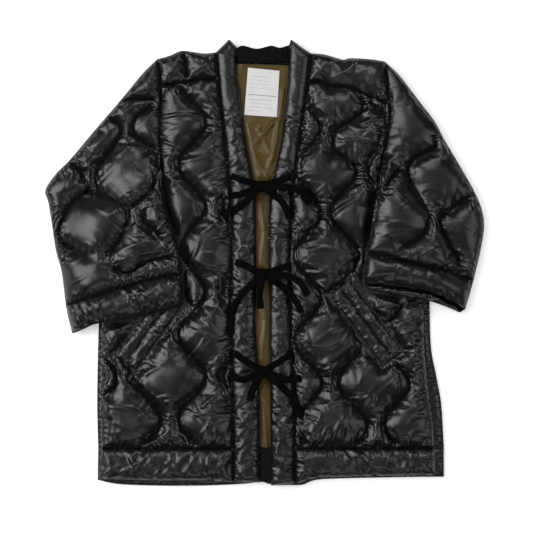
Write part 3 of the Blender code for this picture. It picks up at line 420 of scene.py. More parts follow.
# Pocket welts: ends and height of the seat that is pressed into the front
WELT = {
    "right": ((-0.173, -0.063), (-0.264, -0.190), 0.0154),
    "left": ((0.142, -0.046), (0.244, -0.182), 0.0154),
}
WELT_WIDTH = 0.046
SEAT_WIDTH = WELT_WIDTH + 0.007
WELT_EASE = 0.016
WELT_KEEP = 0.004
WELT_CRUMPLE = 0.0010
WELT_PATCH = 0.034
WELT_PUFF = 0.0044
WELT_TIPS = 2
WELT_ROLL_REACH = 0.25 * WELT_WIDTH

# Snaps: place, size, and the cap's profile in shares of its radius and height
SNAP = {"right": (-0.2212, -0.1080), "left": (0.2019, -0.1045)}
SNAP_RADIUS = 0.0075
SNAP_HEIGHT = 0.0022
SNAP_CLEAR = 0.0001
SNAP_AROUND = 36
SNAP_PROFILE = ((0.94, 0.0), (1.0, 0.22), (0.98, 0.44), (0.90, 0.52), (0.83, 0.42), (0.78, 0.50),
                (0.62, 0.78), (0.40, 0.93), (0.18, 1.0))

# Tied bows
TAPE_WIDTH = 0.013
TAPE_WALL = 0.0014
TAPE_STEP = 0.004
TAPE_EDGE = 0.0005
TAPE_SHARP = 60
TAPE_CLEAR = 0.0004
TAPE_SLOPE = 0.6
TAPE_ROLLS = (0.10, 0.26)
TAPE_TURNS = (1.2, 2.2)

# A loop's fold at its tip, and its upper run: belly over the lower one, share of its roll
TAPE_FOLD = 0.0022
TIP_TURNS = (-0.7, -0.35, 0.0, 0.35, 0.7)
LOOP_BELLY = 0.0045
BELLY_POWER = 0.8
LOOP_ROLL = -0.6

# Knots: size, how far a tape's end goes in, points of the mesh, wraps, foot on the cloth
KNOT_SIZE = (0.030, 0.022, 0.014)
KNOT_CLEAR = -0.004
KNOT_AROUND = 40
KNOT_ALONG = 22
KNOT_LEANS = (0.5, 0.9)
KNOT_SLANT = 0.35
KNOT_WRAPS = 2.1
KNOT_SHIFT = 0.2
KNOT_CORE = 0.86
KNOT_RISE = 0.16
KNOT_FOOT = 0.8
KNOT_PROBES = 9
KNOT_SETTLE = 60
BOWS = (
    ("upper", (-0.006, 0.146), (
        ("lead_right", False, ((-0.045, 0.158), (-0.064, 0.166))),
        ("tail_right", False, ((-0.046, 0.130), (-0.066, 0.128))),
        ("loop_right", True, ((-0.044, 0.110), (-0.079, 0.092))),
        ("lead_left", False, ((0.032, 0.158), (0.050, 0.166))),
        ("loop_left", True, ((0.046, 0.143), (0.070, 0.133), (0.084, 0.116))),
        ("tail_left", False, ((0.034, 0.114), (0.048, 0.085))),
    )),
    ("middle", (-0.004, -0.021), (
        ("lead_right", False, ((-0.040, -0.004), (-0.056, 0.002))),
        ("tail_right", False, ((-0.042, -0.058), (-0.060, -0.090), (-0.068, -0.135))),
        ("loop_right", True, ((-0.010, -0.060), (-0.008, -0.084))),
        ("lead_left", False, ((0.032, -0.010), (0.049, -0.004))),
        ("loop_left", True, ((0.044, -0.025), (0.066, -0.036), (0.080, -0.058))),
        ("tail_left", False, ((0.038, -0.048), (0.058, -0.072), (0.070, -0.094))),
    )),
    ("lower", (-0.002, -0.206), (
        ("lead_right", False, ((-0.040, -0.184), (-0.057, -0.171))),
        ("loop_right", True, ((-0.042, -0.221), (-0.064, -0.214))),
        ("tail_right", False, ((-0.022, -0.240), (-0.028, -0.262))),
        ("lead_left", False, ((0.034, -0.183), (0.052, -0.170))),
        ("loop_left", True, ((0.040, -0.221), (0.064, -0.219))),
        ("tail_left", False, ((0.038, -0.240), (0.058, -0.262), (0.066, -0.292))),
    )),
)

# Rolled edge of the lining, and the label's ruled lines: how far down, start, end, width
PIPING_RADIUS = 0.0012
PIPING_OUT = 0.0006
PIPING_REST = FRONT_REST + 0.0022
PIPING_SWAY = 0.0004
PIPING_PATCH = 0.03
RULE_FINE = 0.0005
LABEL_RULES = (
    (0.16, 0.10, 0.62, 0.0005),
    (0.25, 0.10, 0.80, 0.0005),
    (0.33, 0.10, 0.70, 0.0005),
    (0.41, 0.10, 0.86, 0.0005),
    (0.56, 0.06, 0.94, 0.0009),
    (0.66, 0.10, 0.86, 0.0005),
    (0.74, 0.10, 0.78, 0.0005),
    (0.82, 0.10, 0.84, 0.0005),
    (0.90, 0.10, 0.50, 0.0005),
)

# Creases of the lining in the neck opening and the slit: start, end, height, half width
LINING_FOLDS = (
    ((-0.034, 0.262), (-0.008, 0.170), 0.0040, 0.0085),
    ((0.021, 0.274), (-0.020, 0.224), 0.0056, 0.0036),
    ((0.036, 0.330), (0.014, 0.196), 0.0058, 0.0034),
    ((-0.050, 0.330), (-0.030, 0.205), 0.0050, 0.0032),
    ((-0.018, 0.214), (0.016, 0.204), 0.0036, 0.0050),
    ((-0.012, 0.255), (0.012, 0.205), 0.0040, 0.0040),
    ((-0.022, 0.210), (0.006, 0.162), 0.0051, 0.0032),
    ((0.024, 0.238), (0.002, 0.166), 0.0048, 0.0032),
    ((-0.009, 0.122), (0.000, 0.062), 0.0040, 0.0030),
    ((0.001, 0.058), (-0.008, -0.004), 0.0034, 0.0036),
    ((-0.010, -0.046), (0.001, -0.104), 0.0036, 0.0034),
    ((0.002, -0.112), (-0.008, -0.186), 0.0040, 0.0030),
    ((-0.013, -0.240), (0.005, -0.196), 0.0040, 0.0026),
    ((-0.012, -0.266), (0.006, -0.222), 0.0040, 0.0026),
    ((-0.004, -0.262), (0.003, -0.350), 0.0048, 0.0030),
)
LINING_SWELL = 0.0006
LINING_PATCH = 0.040
LINING_SHOWN = (0.001, 0.007)
LABEL_PRESS = 0.010

# Folds, listed one by one: course, height, half width
DRAWN_FOLDS = {
    "front_left": (
        (((0.095, 0.296), (0.111, 0.289), (0.124, 0.257)), 0.0019, 0.0030),
        (((0.137, 0.277), (0.180, 0.254), (0.229, 0.244)), 0.0025, 0.0046),
        (((0.130, 0.231), (0.180, 0.234), (0.231, 0.229)), 0.0022, 0.0028),
        (((0.179, 0.393), (0.158, 0.367), (0.132, 0.348)), 0.0019, 0.0057),
        (((0.064, 0.028), (0.083, 0.041), (0.113, 0.046)), 0.0019, 0.0046),
        (((0.078, 0.021), (0.108, 0.029), (0.143, 0.024)), 0.0019, 0.0046),
        (((0.066, 0.004), (0.098, -0.006), (0.143, -0.013)), 0.0016, 0.0040),
        (((0.073, -0.121), (0.103, -0.101), (0.133, -0.096)), 0.0019, 0.0046),
        (((0.098, -0.150), (0.123, -0.131), (0.152, -0.121)), 0.0019, 0.0052),
        (((0.304, -0.096), (0.282, -0.106), (0.252, -0.116)), 0.0022, 0.0034),
        (((0.306, -0.118), (0.287, -0.125), (0.257, -0.136)), 0.0022, 0.0034),
        (((0.306, -0.145), (0.292, -0.150), (0.262, -0.160)), 0.0019, 0.0034),
        (((0.212, -0.068), (0.242, -0.076), (0.277, -0.091)), 0.0019, 0.0034),
        (((0.090, -0.010), (0.105, -0.013), (0.119, -0.023), (0.128, -0.036)), 0.0019, 0.0025),
        (((0.134, -0.038), (0.145, -0.029), (0.161, -0.019)), 0.0019, 0.0023),
        (((0.094, -0.048), (0.107, -0.061), (0.119, -0.075)), 0.0016, 0.0023),
        (((0.170, -0.042), (0.191, -0.056), (0.214, -0.065), (0.228, -0.071)), 0.0022, 0.0028),
        (((0.205, -0.092), (0.216, -0.082), (0.228, -0.079)), 0.0019, 0.0028),
        (((0.093, -0.159), (0.122, -0.159), (0.147, -0.147)), 0.0019, 0.0046),
        (((0.093, -0.188), (0.118, -0.191), (0.137, -0.178), (0.171, -0.149)), 0.0019, 0.0040),
        (((0.096, -0.196), (0.113, -0.203), (0.127, -0.196), (0.137, -0.208)), 0.0019, 0.0028),
        (((0.122, -0.200), (0.127, -0.225), (0.135, -0.244)), 0.0019, 0.0028),
        (((0.113, -0.220), (0.122, -0.239), (0.130, -0.249)), 0.0019, 0.0025),
        (((0.178, -0.232), (0.186, -0.208), (0.193, -0.196), (0.205, -0.193)), 0.0019, 0.0046),
        (((0.205, -0.278), (0.210, -0.264), (0.208, -0.249)), 0.0019, 0.0034),
        (((0.225, -0.283), (0.230, -0.271), (0.249, -0.264)), 0.0016, 0.0034),
        (((0.127, -0.342), (0.135, -0.317), (0.149, -0.293)), 0.0022, 0.0040),
        (((0.147, -0.337), (0.149, -0.317), (0.152, -0.298)), 0.0019, 0.0034),
        (((0.166, -0.339), (0.176, -0.317), (0.183, -0.308)), 0.0019, 0.0034),
        (((0.101, -0.305), (0.105, -0.286), (0.093, -0.278)), 0.0019, 0.0034),
        (((0.118, -0.266), (0.127, -0.283), (0.135, -0.293)), 0.0016, 0.0030),
        (((0.271, -0.310), (0.281, -0.295), (0.298, -0.290), (0.310, -0.293)), 0.0019, 0.0046),
        (((0.266, -0.342), (0.281, -0.322), (0.293, -0.312)), 0.0019, 0.0046),
        (((0.281, -0.213), (0.288, -0.200), (0.300, -0.191)), 0.0019, 0.0030),
        (((0.276, -0.234), (0.288, -0.249), (0.305, -0.261)), 0.0019, 0.0034),
        (((0.249, -0.176), (0.271, -0.171), (0.293, -0.174)), 0.0019, 0.0034),
        (((0.067, -0.230), (0.074, -0.225), (0.088, -0.230), (0.091, -0.244)), 0.0019, 0.0040),
        (((0.079, -0.330), (0.088, -0.344), (0.093, -0.354)), 0.0019, 0.0034),
        (((0.064, -0.295), (0.076, -0.315), (0.098, -0.322)), 0.0019, 0.0034),
    ),
    "front_right": (
        (((-0.072, 0.305), (-0.098, 0.294), (-0.114, 0.273)), 0.0016, 0.0034),
        (((-0.066, 0.289), (-0.093, 0.273), (-0.104, 0.257)), 0.0016, 0.0034),
        (((-0.082, 0.219), (-0.100, 0.217), (-0.114, 0.208)), 0.0015, 0.0040),
        (((-0.190, 0.177), (-0.169, 0.165), (-0.178, 0.149)), 0.0015, 0.0029),
        (((-0.180, 0.062), (-0.167, 0.054), (-0.161, 0.065), (-0.158, 0.085)), 0.0019, 0.0030),
        (((-0.122, 0.023), (-0.108, 0.018), (-0.091, 0.020)), 0.0015, 0.0040),
        (((-0.130, 0.006), (-0.113, -0.005), (-0.091, -0.008), (-0.069, -0.005)), 0.0022, 0.0037),
        (((-0.119, -0.010), (-0.094, -0.016), (-0.088, -0.033)), 0.0019, 0.0030),
        (((-0.147, -0.122), (-0.119, -0.134), (-0.080, -0.145)), 0.0019, 0.0046),
        (((-0.147, -0.100), (-0.124, -0.117), (-0.097, -0.128)), 0.0019, 0.0046),
        (((-0.309, -0.117), (-0.287, -0.118), (-0.270, -0.134)), 0.0019, 0.0034),
        (((-0.111, 0.116), (-0.102, 0.138), (-0.083, 0.146)), 0.0019, 0.0030),
        (((-0.303, -0.275), (-0.271, -0.273), (-0.239, -0.277), (-0.228, -0.288)), 0.0022, 0.0046),
        (((-0.293, -0.299), (-0.260, -0.312), (-0.231, -0.331)), 0.0015, 0.0057),
        (((-0.309, -0.315), (-0.303, -0.299), (-0.293, -0.285)), 0.0015, 0.0046),
        (((-0.236, -0.224), (-0.223, -0.242), (-0.204, -0.259), (-0.196, -0.273)), 0.0019, 0.0046),
        (((-0.196, -0.273), (-0.185, -0.263), (-0.167, -0.261), (-0.137, -0.240)), 0.0019, 0.0034),
        (((-0.204, -0.256), (-0.185, -0.253), (-0.169, -0.256), (-0.148, -0.245)), 0.0019, 0.0030),
        (((-0.212, -0.178), (-0.191, -0.189), (-0.180, -0.173)), 0.0012, 0.0057),
        (((-0.124, -0.253), (-0.118, -0.272), (-0.108, -0.261), (-0.097, -0.277)), 0.0019, 0.0040),
        (((-0.118, -0.328), (-0.110, -0.312), (-0.100, -0.293)), 0.0019, 0.0040),
        (((-0.097, -0.336), (-0.092, -0.315), (-0.086, -0.293)), 0.0019, 0.0040),
        (((-0.075, -0.342), (-0.073, -0.320), (-0.068, -0.299)), 0.0015, 0.0034),
        (((-0.116, -0.189), (-0.097, -0.189), (-0.086, -0.175), (-0.073, -0.178)), 0.0022, 0.0030),
        (((-0.110, -0.208), (-0.097, -0.226), (-0.073, -0.251)), 0.0019, 0.0028),
        (((-0.100, -0.202), (-0.092, -0.221), (-0.078, -0.242)), 0.0019, 0.0028),
        (((-0.193, -0.299), (-0.177, -0.288)), 0.0015, 0.0025),
        (((-0.196, -0.312), (-0.175, -0.299)), 0.0015, 0.0025),
        (((-0.202, -0.331), (-0.175, -0.312)), 0.0015, 0.0028),
        (((-0.217, -0.342), (-0.185, -0.323)), 0.0015, 0.0028),
        (((-0.277, -0.202), (-0.268, -0.221), (-0.250, -0.240)), 0.0019, 0.0030),
        (((-0.298, -0.170), (-0.271, -0.189)), 0.0016, 0.0030),
        (((-0.306, -0.202), (-0.287, -0.200), (-0.282, -0.213), (-0.295, -0.240)), 0.0016, 0.0034),
    ),
    "sleeve_right": (
        (((-0.316, 0.104), (-0.299, 0.094), (-0.285, 0.092)), 0.0010, 0.0040),
        (((-0.341, 0.038), (-0.331, 0.034), (-0.326, 0.023)), 0.0014, 0.0030),
        (((-0.318, 0.043), (-0.307, 0.023), (-0.290, 0.026)), 0.0019, 0.0030),
        (((-0.259, 0.053), (-0.236, 0.051), (-0.223, 0.053),
          (-0.234, 0.061), (-0.245, 0.074)), 0.0019, 0.0030),
        (((-0.279, 0.020), (-0.253, 0.032), (-0.220, 0.040), (-0.192, 0.043)), 0.0022, 0.0046),
        (((-0.270, 0.006), (-0.245, 0.013), (-0.208, 0.023), (-0.183, 0.026)), 0.0015, 0.0040),
        (((-0.290, -0.010), (-0.270, -0.008), (-0.256, -0.022),
          (-0.236, -0.010), (-0.214, 0.005), (-0.175, 0.016)), 0.0025, 0.0034),
        (((-0.293, -0.016), (-0.276, -0.027), (-0.259, -0.038)), 0.0015, 0.0030),
        (((-0.382, -0.008), (-0.365, 0.001), (-0.346, 0.012)), 0.0019, 0.0030),
        (((-0.368, -0.041), (-0.354, -0.033), (-0.337, -0.024)), 0.0015, 0.0034),
        (((-0.265, 0.121), (-0.253, 0.131), (-0.241, 0.133), (-0.238, 0.124)), 0.0019, 0.0030),
    ),
    "sleeve_left": (
        (((0.217, 0.073), (0.252, 0.076), (0.292, 0.066)), 0.0015, 0.0046),
        (((0.212, 0.051), (0.247, 0.058), (0.282, 0.061)), 0.0015, 0.0046),
        (((0.289, 0.004), (0.312, 0.024), (0.356, 0.029)), 0.0015, 0.0040),
        (((0.396, 0.013), (0.381, 0.017), (0.366, 0.024)), 0.0015, 0.0034),
        (((0.242, 0.143), (0.272, 0.118), (0.252, 0.103)), 0.0015, 0.0046),
    ),
    "cuff_right": (
        (((-0.262, -0.055), (-0.255, -0.075), (-0.252, -0.083)), 0.0019, 0.0034),
        (((-0.248, -0.080), (-0.245, -0.066), (-0.231, -0.055),
          (-0.217, -0.069), (-0.206, -0.078)), 0.0022, 0.0034),
        (((-0.307, -0.066), (-0.315, -0.078), (-0.312, -0.094)), 0.0019, 0.0034),
        (((-0.304, -0.103), (-0.287, -0.092), (-0.270, -0.094)), 0.0019, 0.0046),
    ),
    "band_left": (
        (((0.048, 0.372), (0.054, 0.350), (0.072, 0.328)), 0.0050, 0.0075),
        (((0.046, 0.326), (0.052, 0.300), (0.068, 0.282)), 0.0044, 0.0065),
        (((0.042, 0.268), (0.050, 0.250), (0.066, 0.236)), 0.0028, 0.0056),
        (((0.023, 0.123), (0.035, 0.104), (0.040, 0.084)), 0.0019, 0.0046),
        (((0.028, 0.068), (0.018, 0.029), (0.033, -0.006)), 0.0019, 0.0046),
        (((0.018, -0.076), (0.038, -0.110), (0.033, -0.141)), 0.0019, 0.0046),
        (((0.013, -0.247), (0.023, -0.264), (0.049, -0.283)), 0.0022, 0.0040),
        (((0.013, -0.288), (0.030, -0.283), (0.052, -0.293)), 0.0022, 0.0040),
        (((0.042, -0.327), (0.037, -0.315), (0.047, -0.305)), 0.0016, 0.0046),
        (((0.052, -0.383), (0.040, -0.390), (0.042, -0.405), (0.062, -0.420)), 0.0022, 0.0034),
        (((0.013, -0.154), (0.023, -0.147), (0.028, -0.164), (0.015, -0.174)), 0.0019, 0.0028),
        (((0.032, -0.130), (0.042, -0.152), (0.049, -0.169)), 0.0019, 0.0034),
    ),
    "band_right": (
        (((-0.088, 0.366), (-0.072, 0.344), (-0.056, 0.336)), 0.0050, 0.0075),
        (((-0.080, 0.318), (-0.064, 0.306), (-0.052, 0.285)), 0.0046, 0.0065),
        (((-0.076, 0.284), (-0.062, 0.264), (-0.050, 0.236)), 0.0030, 0.0056),
        (((-0.057, 0.059), (-0.036, 0.044), (-0.021, 0.009)), 0.0019, 0.0046),
        (((-0.051, -0.110), (-0.036, -0.091), (-0.021, -0.056)), 0.0019, 0.0046),
        (((-0.054, 0.006), (-0.049, 0.026), (-0.035, 0.029), (-0.024, 0.001)), 0.0019, 0.0034),
        (((-0.054, -0.103), (-0.038, -0.114), (-0.024, -0.145)), 0.0019, 0.0046),
        (((-0.054, 0.093), (-0.041, 0.082), (-0.024, 0.079)), 0.0015, 0.0034),
        (((-0.054, -0.256), (-0.038, -0.253), (-0.014, -0.277)), 0.0022, 0.0040),
        (((-0.054, -0.275), (-0.033, -0.285), (-0.011, -0.301)), 0.0022, 0.0040),
        (((-0.054, -0.285), (-0.038, -0.304), (-0.030, -0.326)), 0.0019, 0.0046),
        (((-0.051, -0.374), (-0.035, -0.390), (-0.043, -0.401)), 0.0019, 0.0034),
        (((-0.051, -0.135), (-0.043, -0.154), (-0.022, -0.173)), 0.0019, 0.0034),
        (((-0.041, -0.133), (-0.030, -0.151), (-0.017, -0.165)), 0.0019, 0.0034),
    ),
    "hem_front_right": (
        (((-0.223, -0.360), (-0.236, -0.377), (-0.260, -0.393), (-0.287, -0.406)), 0.0022, 0.0046),
        (((-0.215, -0.360), (-0.217, -0.377), (-0.228, -0.390)), 0.0019, 0.0040),
        (((-0.196, -0.368), (-0.175, -0.393)), 0.0016, 0.0046),
        (((-0.132, -0.360), (-0.140, -0.382), (-0.159, -0.406)), 0.0025, 0.0040),
        (((-0.105, -0.358), (-0.108, -0.382), (-0.105, -0.406)), 0.0025, 0.0034),
        (((-0.097, -0.358), (-0.081, -0.379), (-0.070, -0.406)), 0.0025, 0.0034),
        (((-0.121, -0.363), (-0.118, -0.385), (-0.116, -0.406)), 0.0019, 0.0030),
        (((-0.301, -0.360), (-0.295, -0.382), (-0.293, -0.403)), 0.0016, 0.0057),
        (((-0.284, -0.403), (-0.260, -0.391), (-0.236, -0.401)), 0.0019, 0.0040),
    ),
    "hem_front_left": (
        (((0.062, -0.368), (0.079, -0.381), (0.113, -0.403)), 0.0019, 0.0040),
        (((0.152, -0.359), (0.162, -0.376), (0.171, -0.386)), 0.0025, 0.0034),
        (((0.127, -0.383), (0.142, -0.378), (0.157, -0.386)), 0.0022, 0.0034),
        (((0.183, -0.359), (0.196, -0.376), (0.201, -0.395)), 0.0025, 0.0040),
        (((0.210, -0.383), (0.225, -0.386), (0.235, -0.395)), 0.0019, 0.0040),
        (((0.235, -0.356), (0.237, -0.373), (0.232, -0.386)), 0.0022, 0.0030),
        (((0.249, -0.359), (0.266, -0.368), (0.276, -0.371)), 0.0019, 0.0034),
        (((0.271, -0.354), (0.291, -0.371), (0.310, -0.383)), 0.0019, 0.0046),
        (((0.303, -0.368), (0.315, -0.376), (0.320, -0.390)), 0.0015, 0.0046),
    ),
}

# Stitches
STITCH_PITCH = 0.0040
STITCH_LENGTH = 0.0028
STITCH_WIDTH = 0.0008
STITCH_RISE = 0.3
STITCH_SINK = 0.0003

# Shader numbers: usual range of a noise, radians of a wave texture over one unit, sheen colour
NOISE_RANGE = (0.3, 0.7)
WAVE_RADIANS = 20.0
SHEEN_TINT = (0.10, 0.10, 0.11, 1.0)


def smoothstep(start, length, value):
    """0 before start, 1 after start + length, and a soft S between."""
    t = np.clip((value - start) / length, 0.0, 1.0)
    return t * t * (3.0 - 2.0 * t)


def blend(low, high, share):
    """A value between two others."""
    return low + (high - low) * share


def unit(ways):
    """Rows of directions, made 1 long."""
    return ways / np.linalg.norm(ways, axis=1)[:, None]


def left_of(ways):
    """The directions a quarter turn to the left, for one direction or for rows of them."""
    return np.stack([-ways[..., 1], ways[..., 0]], axis=-1)


def run_lengths(run):
    """Length along a run of points up to each of them."""
    return np.concatenate([[0.0], np.cumsum(np.linalg.norm(np.diff(run, axis=0), axis=1))])


def curve(points, step=STEP):
    """A smooth curve through the points, cut into steps of about one length."""
    knots = np.array(points, dtype=float)
    padded = np.vstack([2 * knots[0] - knots[1], knots, 2 * knots[-1] - knots[-2]])
    dense = [knots[0]]
    for i in range(1, len(padded) - 2):
        p0, p1, p2, p3 = padded[i - 1:i + 3]
        for t in np.linspace(0.0, 1.0, CURVE_CUTS + 1)[1:]:
            dense.append(0.5 * (2 * p1 + (p2 - p0) * t + (2 * p0 - 5 * p1 + 4 * p2 - p3) * t ** 2
                                + (3 * p1 - 3 * p2 + p3 - p0) * t ** 3))
    dense = np.array(dense)
    run = run_lengths(dense)
    at = np.linspace(0.0, run[-1], max(1, round(run[-1] / step)) + 1)
    return np.column_stack([np.interp(at, run, dense[:, k]) for k in range(knots.shape[1])])


def loop_of(*runs):
    """Join runs of points end to end into one counter-clockwise outline without doubled points."""
    points = []
    for run in runs:
        for point in run:
            if not points or np.hypot(*(point - points[-1])) > SAME_SPOT:
                points.append(np.array(point, dtype=float))
    if np.hypot(*(points[0] - points[-1])) <= SAME_SPOT:
        points.pop()
    points = np.array(points)
    x, y = points.T
    area = np.sum(x * np.roll(y, -1) - y * np.roll(x, -1))
    return points if area > 0 else points[::-1].copy()


def filled(outline, step=STEP):
    """The same outline with more points along its straight sides."""
    points = []
    for start, end in zip(outline, np.roll(outline, -1, axis=0)):
        count = max(1, round(np.linalg.norm(end - start) / step))
        points.extend(start + (end - start) * k / count for k in range(count))
    return np.array(points)


def inset(outline, distance):
    """Move a counter-clockwise outline inwards, keeping its corners."""
    normal = left_of(unit(np.roll(outline, -1, axis=0) - outline))
    middle = unit(normal + np.roll(normal, 1, axis=0))
    stretch = np.maximum(LEAST_STRETCH, np.sum(middle * normal, axis=1))
    return outline + middle * (distance / stretch)[:, None]


def nearest_on(points, run, closed=False):
    """Distance from each point to a polyline, and how far along it the nearest place is."""
    ends = np.roll(run, -1, axis=0) if closed else run[1:]
    starts = run if closed else run[:-1]
    along = ends - starts
    length = np.maximum(np.linalg.norm(along, axis=1), TINY)
    before = np.concatenate([[0.0], np.cumsum(length)[:-1]])
    distance = np.empty(len(points))
    place = np.empty(len(points))
    for first in range(0, len(points), CHUNK):
        part = points[first:first + CHUNK]
        offset = part[:, None, :] - starts[None, :, :]
        t = np.clip(np.sum(offset * along[None], axis=2) / length ** 2, 0.0, 1.0)
        gap = offset - along[None] * t[..., None]
        squares = np.sum(gap * gap, axis=2)
        best = np.argmin(squares, axis=1)
        row = np.arange(len(part))
        distance[first:first + CHUNK] = np.sqrt(squares[row, best])
        place[first:first + CHUNK] = before[best] + t[row, best] * length[best]
    return distance, place


def distance_to(points, run, closed=False):
    """Distance from each point to a polyline."""
    return nearest_on(points, run, closed)[0]


def inside(points, outline):
    """Whether each point is inside a closed outline."""
    x, y = points.T
    found = np.zeros(len(points), dtype=bool)
    for (x0, y0), (x1, y1) in zip(outline, np.roll(outline, -1, axis=0)):
        if y0 != y1:
            crosses = (y0 > y) != (y1 > y)
            found ^= crosses & (x < (x1 - x0) * (y - y0) / (y1 - y0) + x0)
    return found


def outside_by(points, outline):
    """Distance outside an outline, 0 within it."""
    return np.where(inside(points, outline), 0.0, distance_to(points, outline, closed=True))


def wave(centre, lean, crest, side):
    """One stitched wave down a front, from the shoulder to the hem seam."""
    y = np.arange(WAVE_TOP, HEM_SEAM_Y - SAME_SPOT, -WAVE_LENGTH / WAVE_CUTS)
    turn = 2 * math.pi * (y - crest) / WAVE_LENGTH
    return curve(np.column_stack([centre + lean * y + side * WAVE_SWING * np.cos(turn), y]))


def after_start(whole):
    """The left front's second wave: its own start, then the regular wave."""
    below = whole[:, 1] < LEFT_START[-1][1] - 0.5 * STEP
    return np.vstack([curve(LEFT_START), whole[below]])


def clipped(run, outline, margin, keep_inside=True):
    """The stretches of a line that lie inside an outline, or outside it, by a margin."""
    keep = inside(run, outline) == keep_inside
    keep &= distance_to(run, outline, closed=True) > margin
    stretches = []
    current = []
    for point, kept in zip(run, keep):
        if kept:
            current.append(point)
            continue
        if len(current) > 1:
            stretches.append(np.array(current))
        current = []
    if len(current) > 1:
        stretches.append(np.array(current))
    return stretches


def triangulate(outline, lines, step):
    """Triangles over an outline that follow the stitched lines. The outline's points come first."""
    points = list(outline)
    edges = []
    for line in lines:
        first = len(points)
        points.extend(line)
        edges.extend((first + i, first + i + 1) for i in range(len(line) - 1))
    low = outline.min(axis=0)
    high = outline.max(axis=0)
    grid = []
    for row, y in enumerate(np.arange(low[1], high[1], step * math.sqrt(0.75))):
        for x in np.arange(low[0] + (row % 2) * step / 2, high[0], step):
            grid.append((x, y))
    grid = np.array(grid)
    keep = inside(grid, outline)
    keep[keep] = distance_to(grid[keep], outline, closed=True) > GRID_CLEAR * step
    for line in lines:
        keep[keep] = distance_to(grid[keep], line) > GRID_CLEAR * step
    points.extend(grid[keep])
    coords = [Vector((float(x), float(y))) for x, y in points]
    result = delaunay_2d_cdt(coords, edges, [list(range(len(outline)))], 1, MERGE_WITHIN)
    spots = np.array([tuple(v) for v in result[0]])
    place = {}
    for new, olds in enumerate(result[3]):
        for old in olds:
            place[old] = new
    return spots, np.array(result[2]), [place[i] for i in range(len(outline))]


def ripple(place, rng, length):
    """Random folds along a direction: round crests near 1, sharp valleys near -1."""
    at = (place - place.min()) / (0.5 * length)
    knots = rng.uniform(*RIPPLE_CRESTS, int(at.max()) + RIPPLE_SPARE)
    knots[::2] *= -1.0
    knots += rng.uniform(-RIPPLE_UNEVEN, RIPPLE_UNEVEN, len(knots))
    low = at.astype(int)
    t = smoothstep(0.0, 1.0, at - low)
    return 2.0 * np.abs(knots[low] * (1 - t) + knots[low + 1] * t) - 1.0


def scatter_folds(runs, rng, gap, length, lean):
    """Bent lines that start on the runs, at random gaps, and run away from them."""
    folds = []
    for run, sides in runs:
        places = run_lengths(run)
        at = rng.uniform(0.0, gap)
        phase = rng.uniform(0.0, 2 * math.pi)
        while at < places[-1]:
            i = max(1, min(int(np.searchsorted(places, at)), len(run) - 1))
            along = (run[i] - run[i - 1]) / max(places[i] - places[i - 1], TINY)
            angle = math.radians(90.0 + rng.uniform(-lean, lean)) * rng.choice(sides)
            turn = np.array([[math.cos(angle), -math.sin(angle)],
                             [math.sin(angle), math.cos(angle)]])
            way = turn @ along
            bend = left_of(way) * rng.uniform(-FOLD_BEND, FOLD_BEND)
            reach = length * rng.uniform(*FOLD_LENGTHS)
            t = np.linspace(0.0, 1.0, FOLD_POINTS)[:, None]
            crowd = 0.5 + 0.5 * math.sin(2 * math.pi * at / CLUSTER + phase)
            folds.append((run[i] + reach * (way * t + bend * t * t),
                          crowd * rng.uniform(*FOLD_STRENGTHS), rng.uniform(*FOLD_BREADTHS)))
            at += gap * rng.uniform(*FOLD_GAPS)
    return folds


def folds_lift(points, folds, height, half_width, both_ends=False):
    """Ridges with valleys that fade towards their far ends, or plain ones that fade at both."""
    lift = np.zeros(len(points))
    for line, strength, breadth in folds:
        width = half_width * breadth
        margin = FOLD_MARGIN * width
        low = line.min(axis=0) - margin
        high = line.max(axis=0) + margin
        close = np.flatnonzero(np.all((points > low) & (points < high), axis=1))
        if not len(close):
            continue
        away, place = nearest_on(points[close], line)
        along = np.clip(place / run_lengths(line)[-1], 0.0, 1.0)
        ridge = np.exp(-(away / width) ** 2)
        if both_ends:
            fade = np.sin(math.pi * (FADE_START + FADE_SPAN * along)) ** FADE_POWER
        else:
            fade = (1.0 - along) ** FADE_POWER
            ridge -= VALLEY_DEPTH * np.exp(-((away - VALLEY_PLACE * width) / width) ** 2)
        lift[close] += height * strength * fade * ridge
    return lift


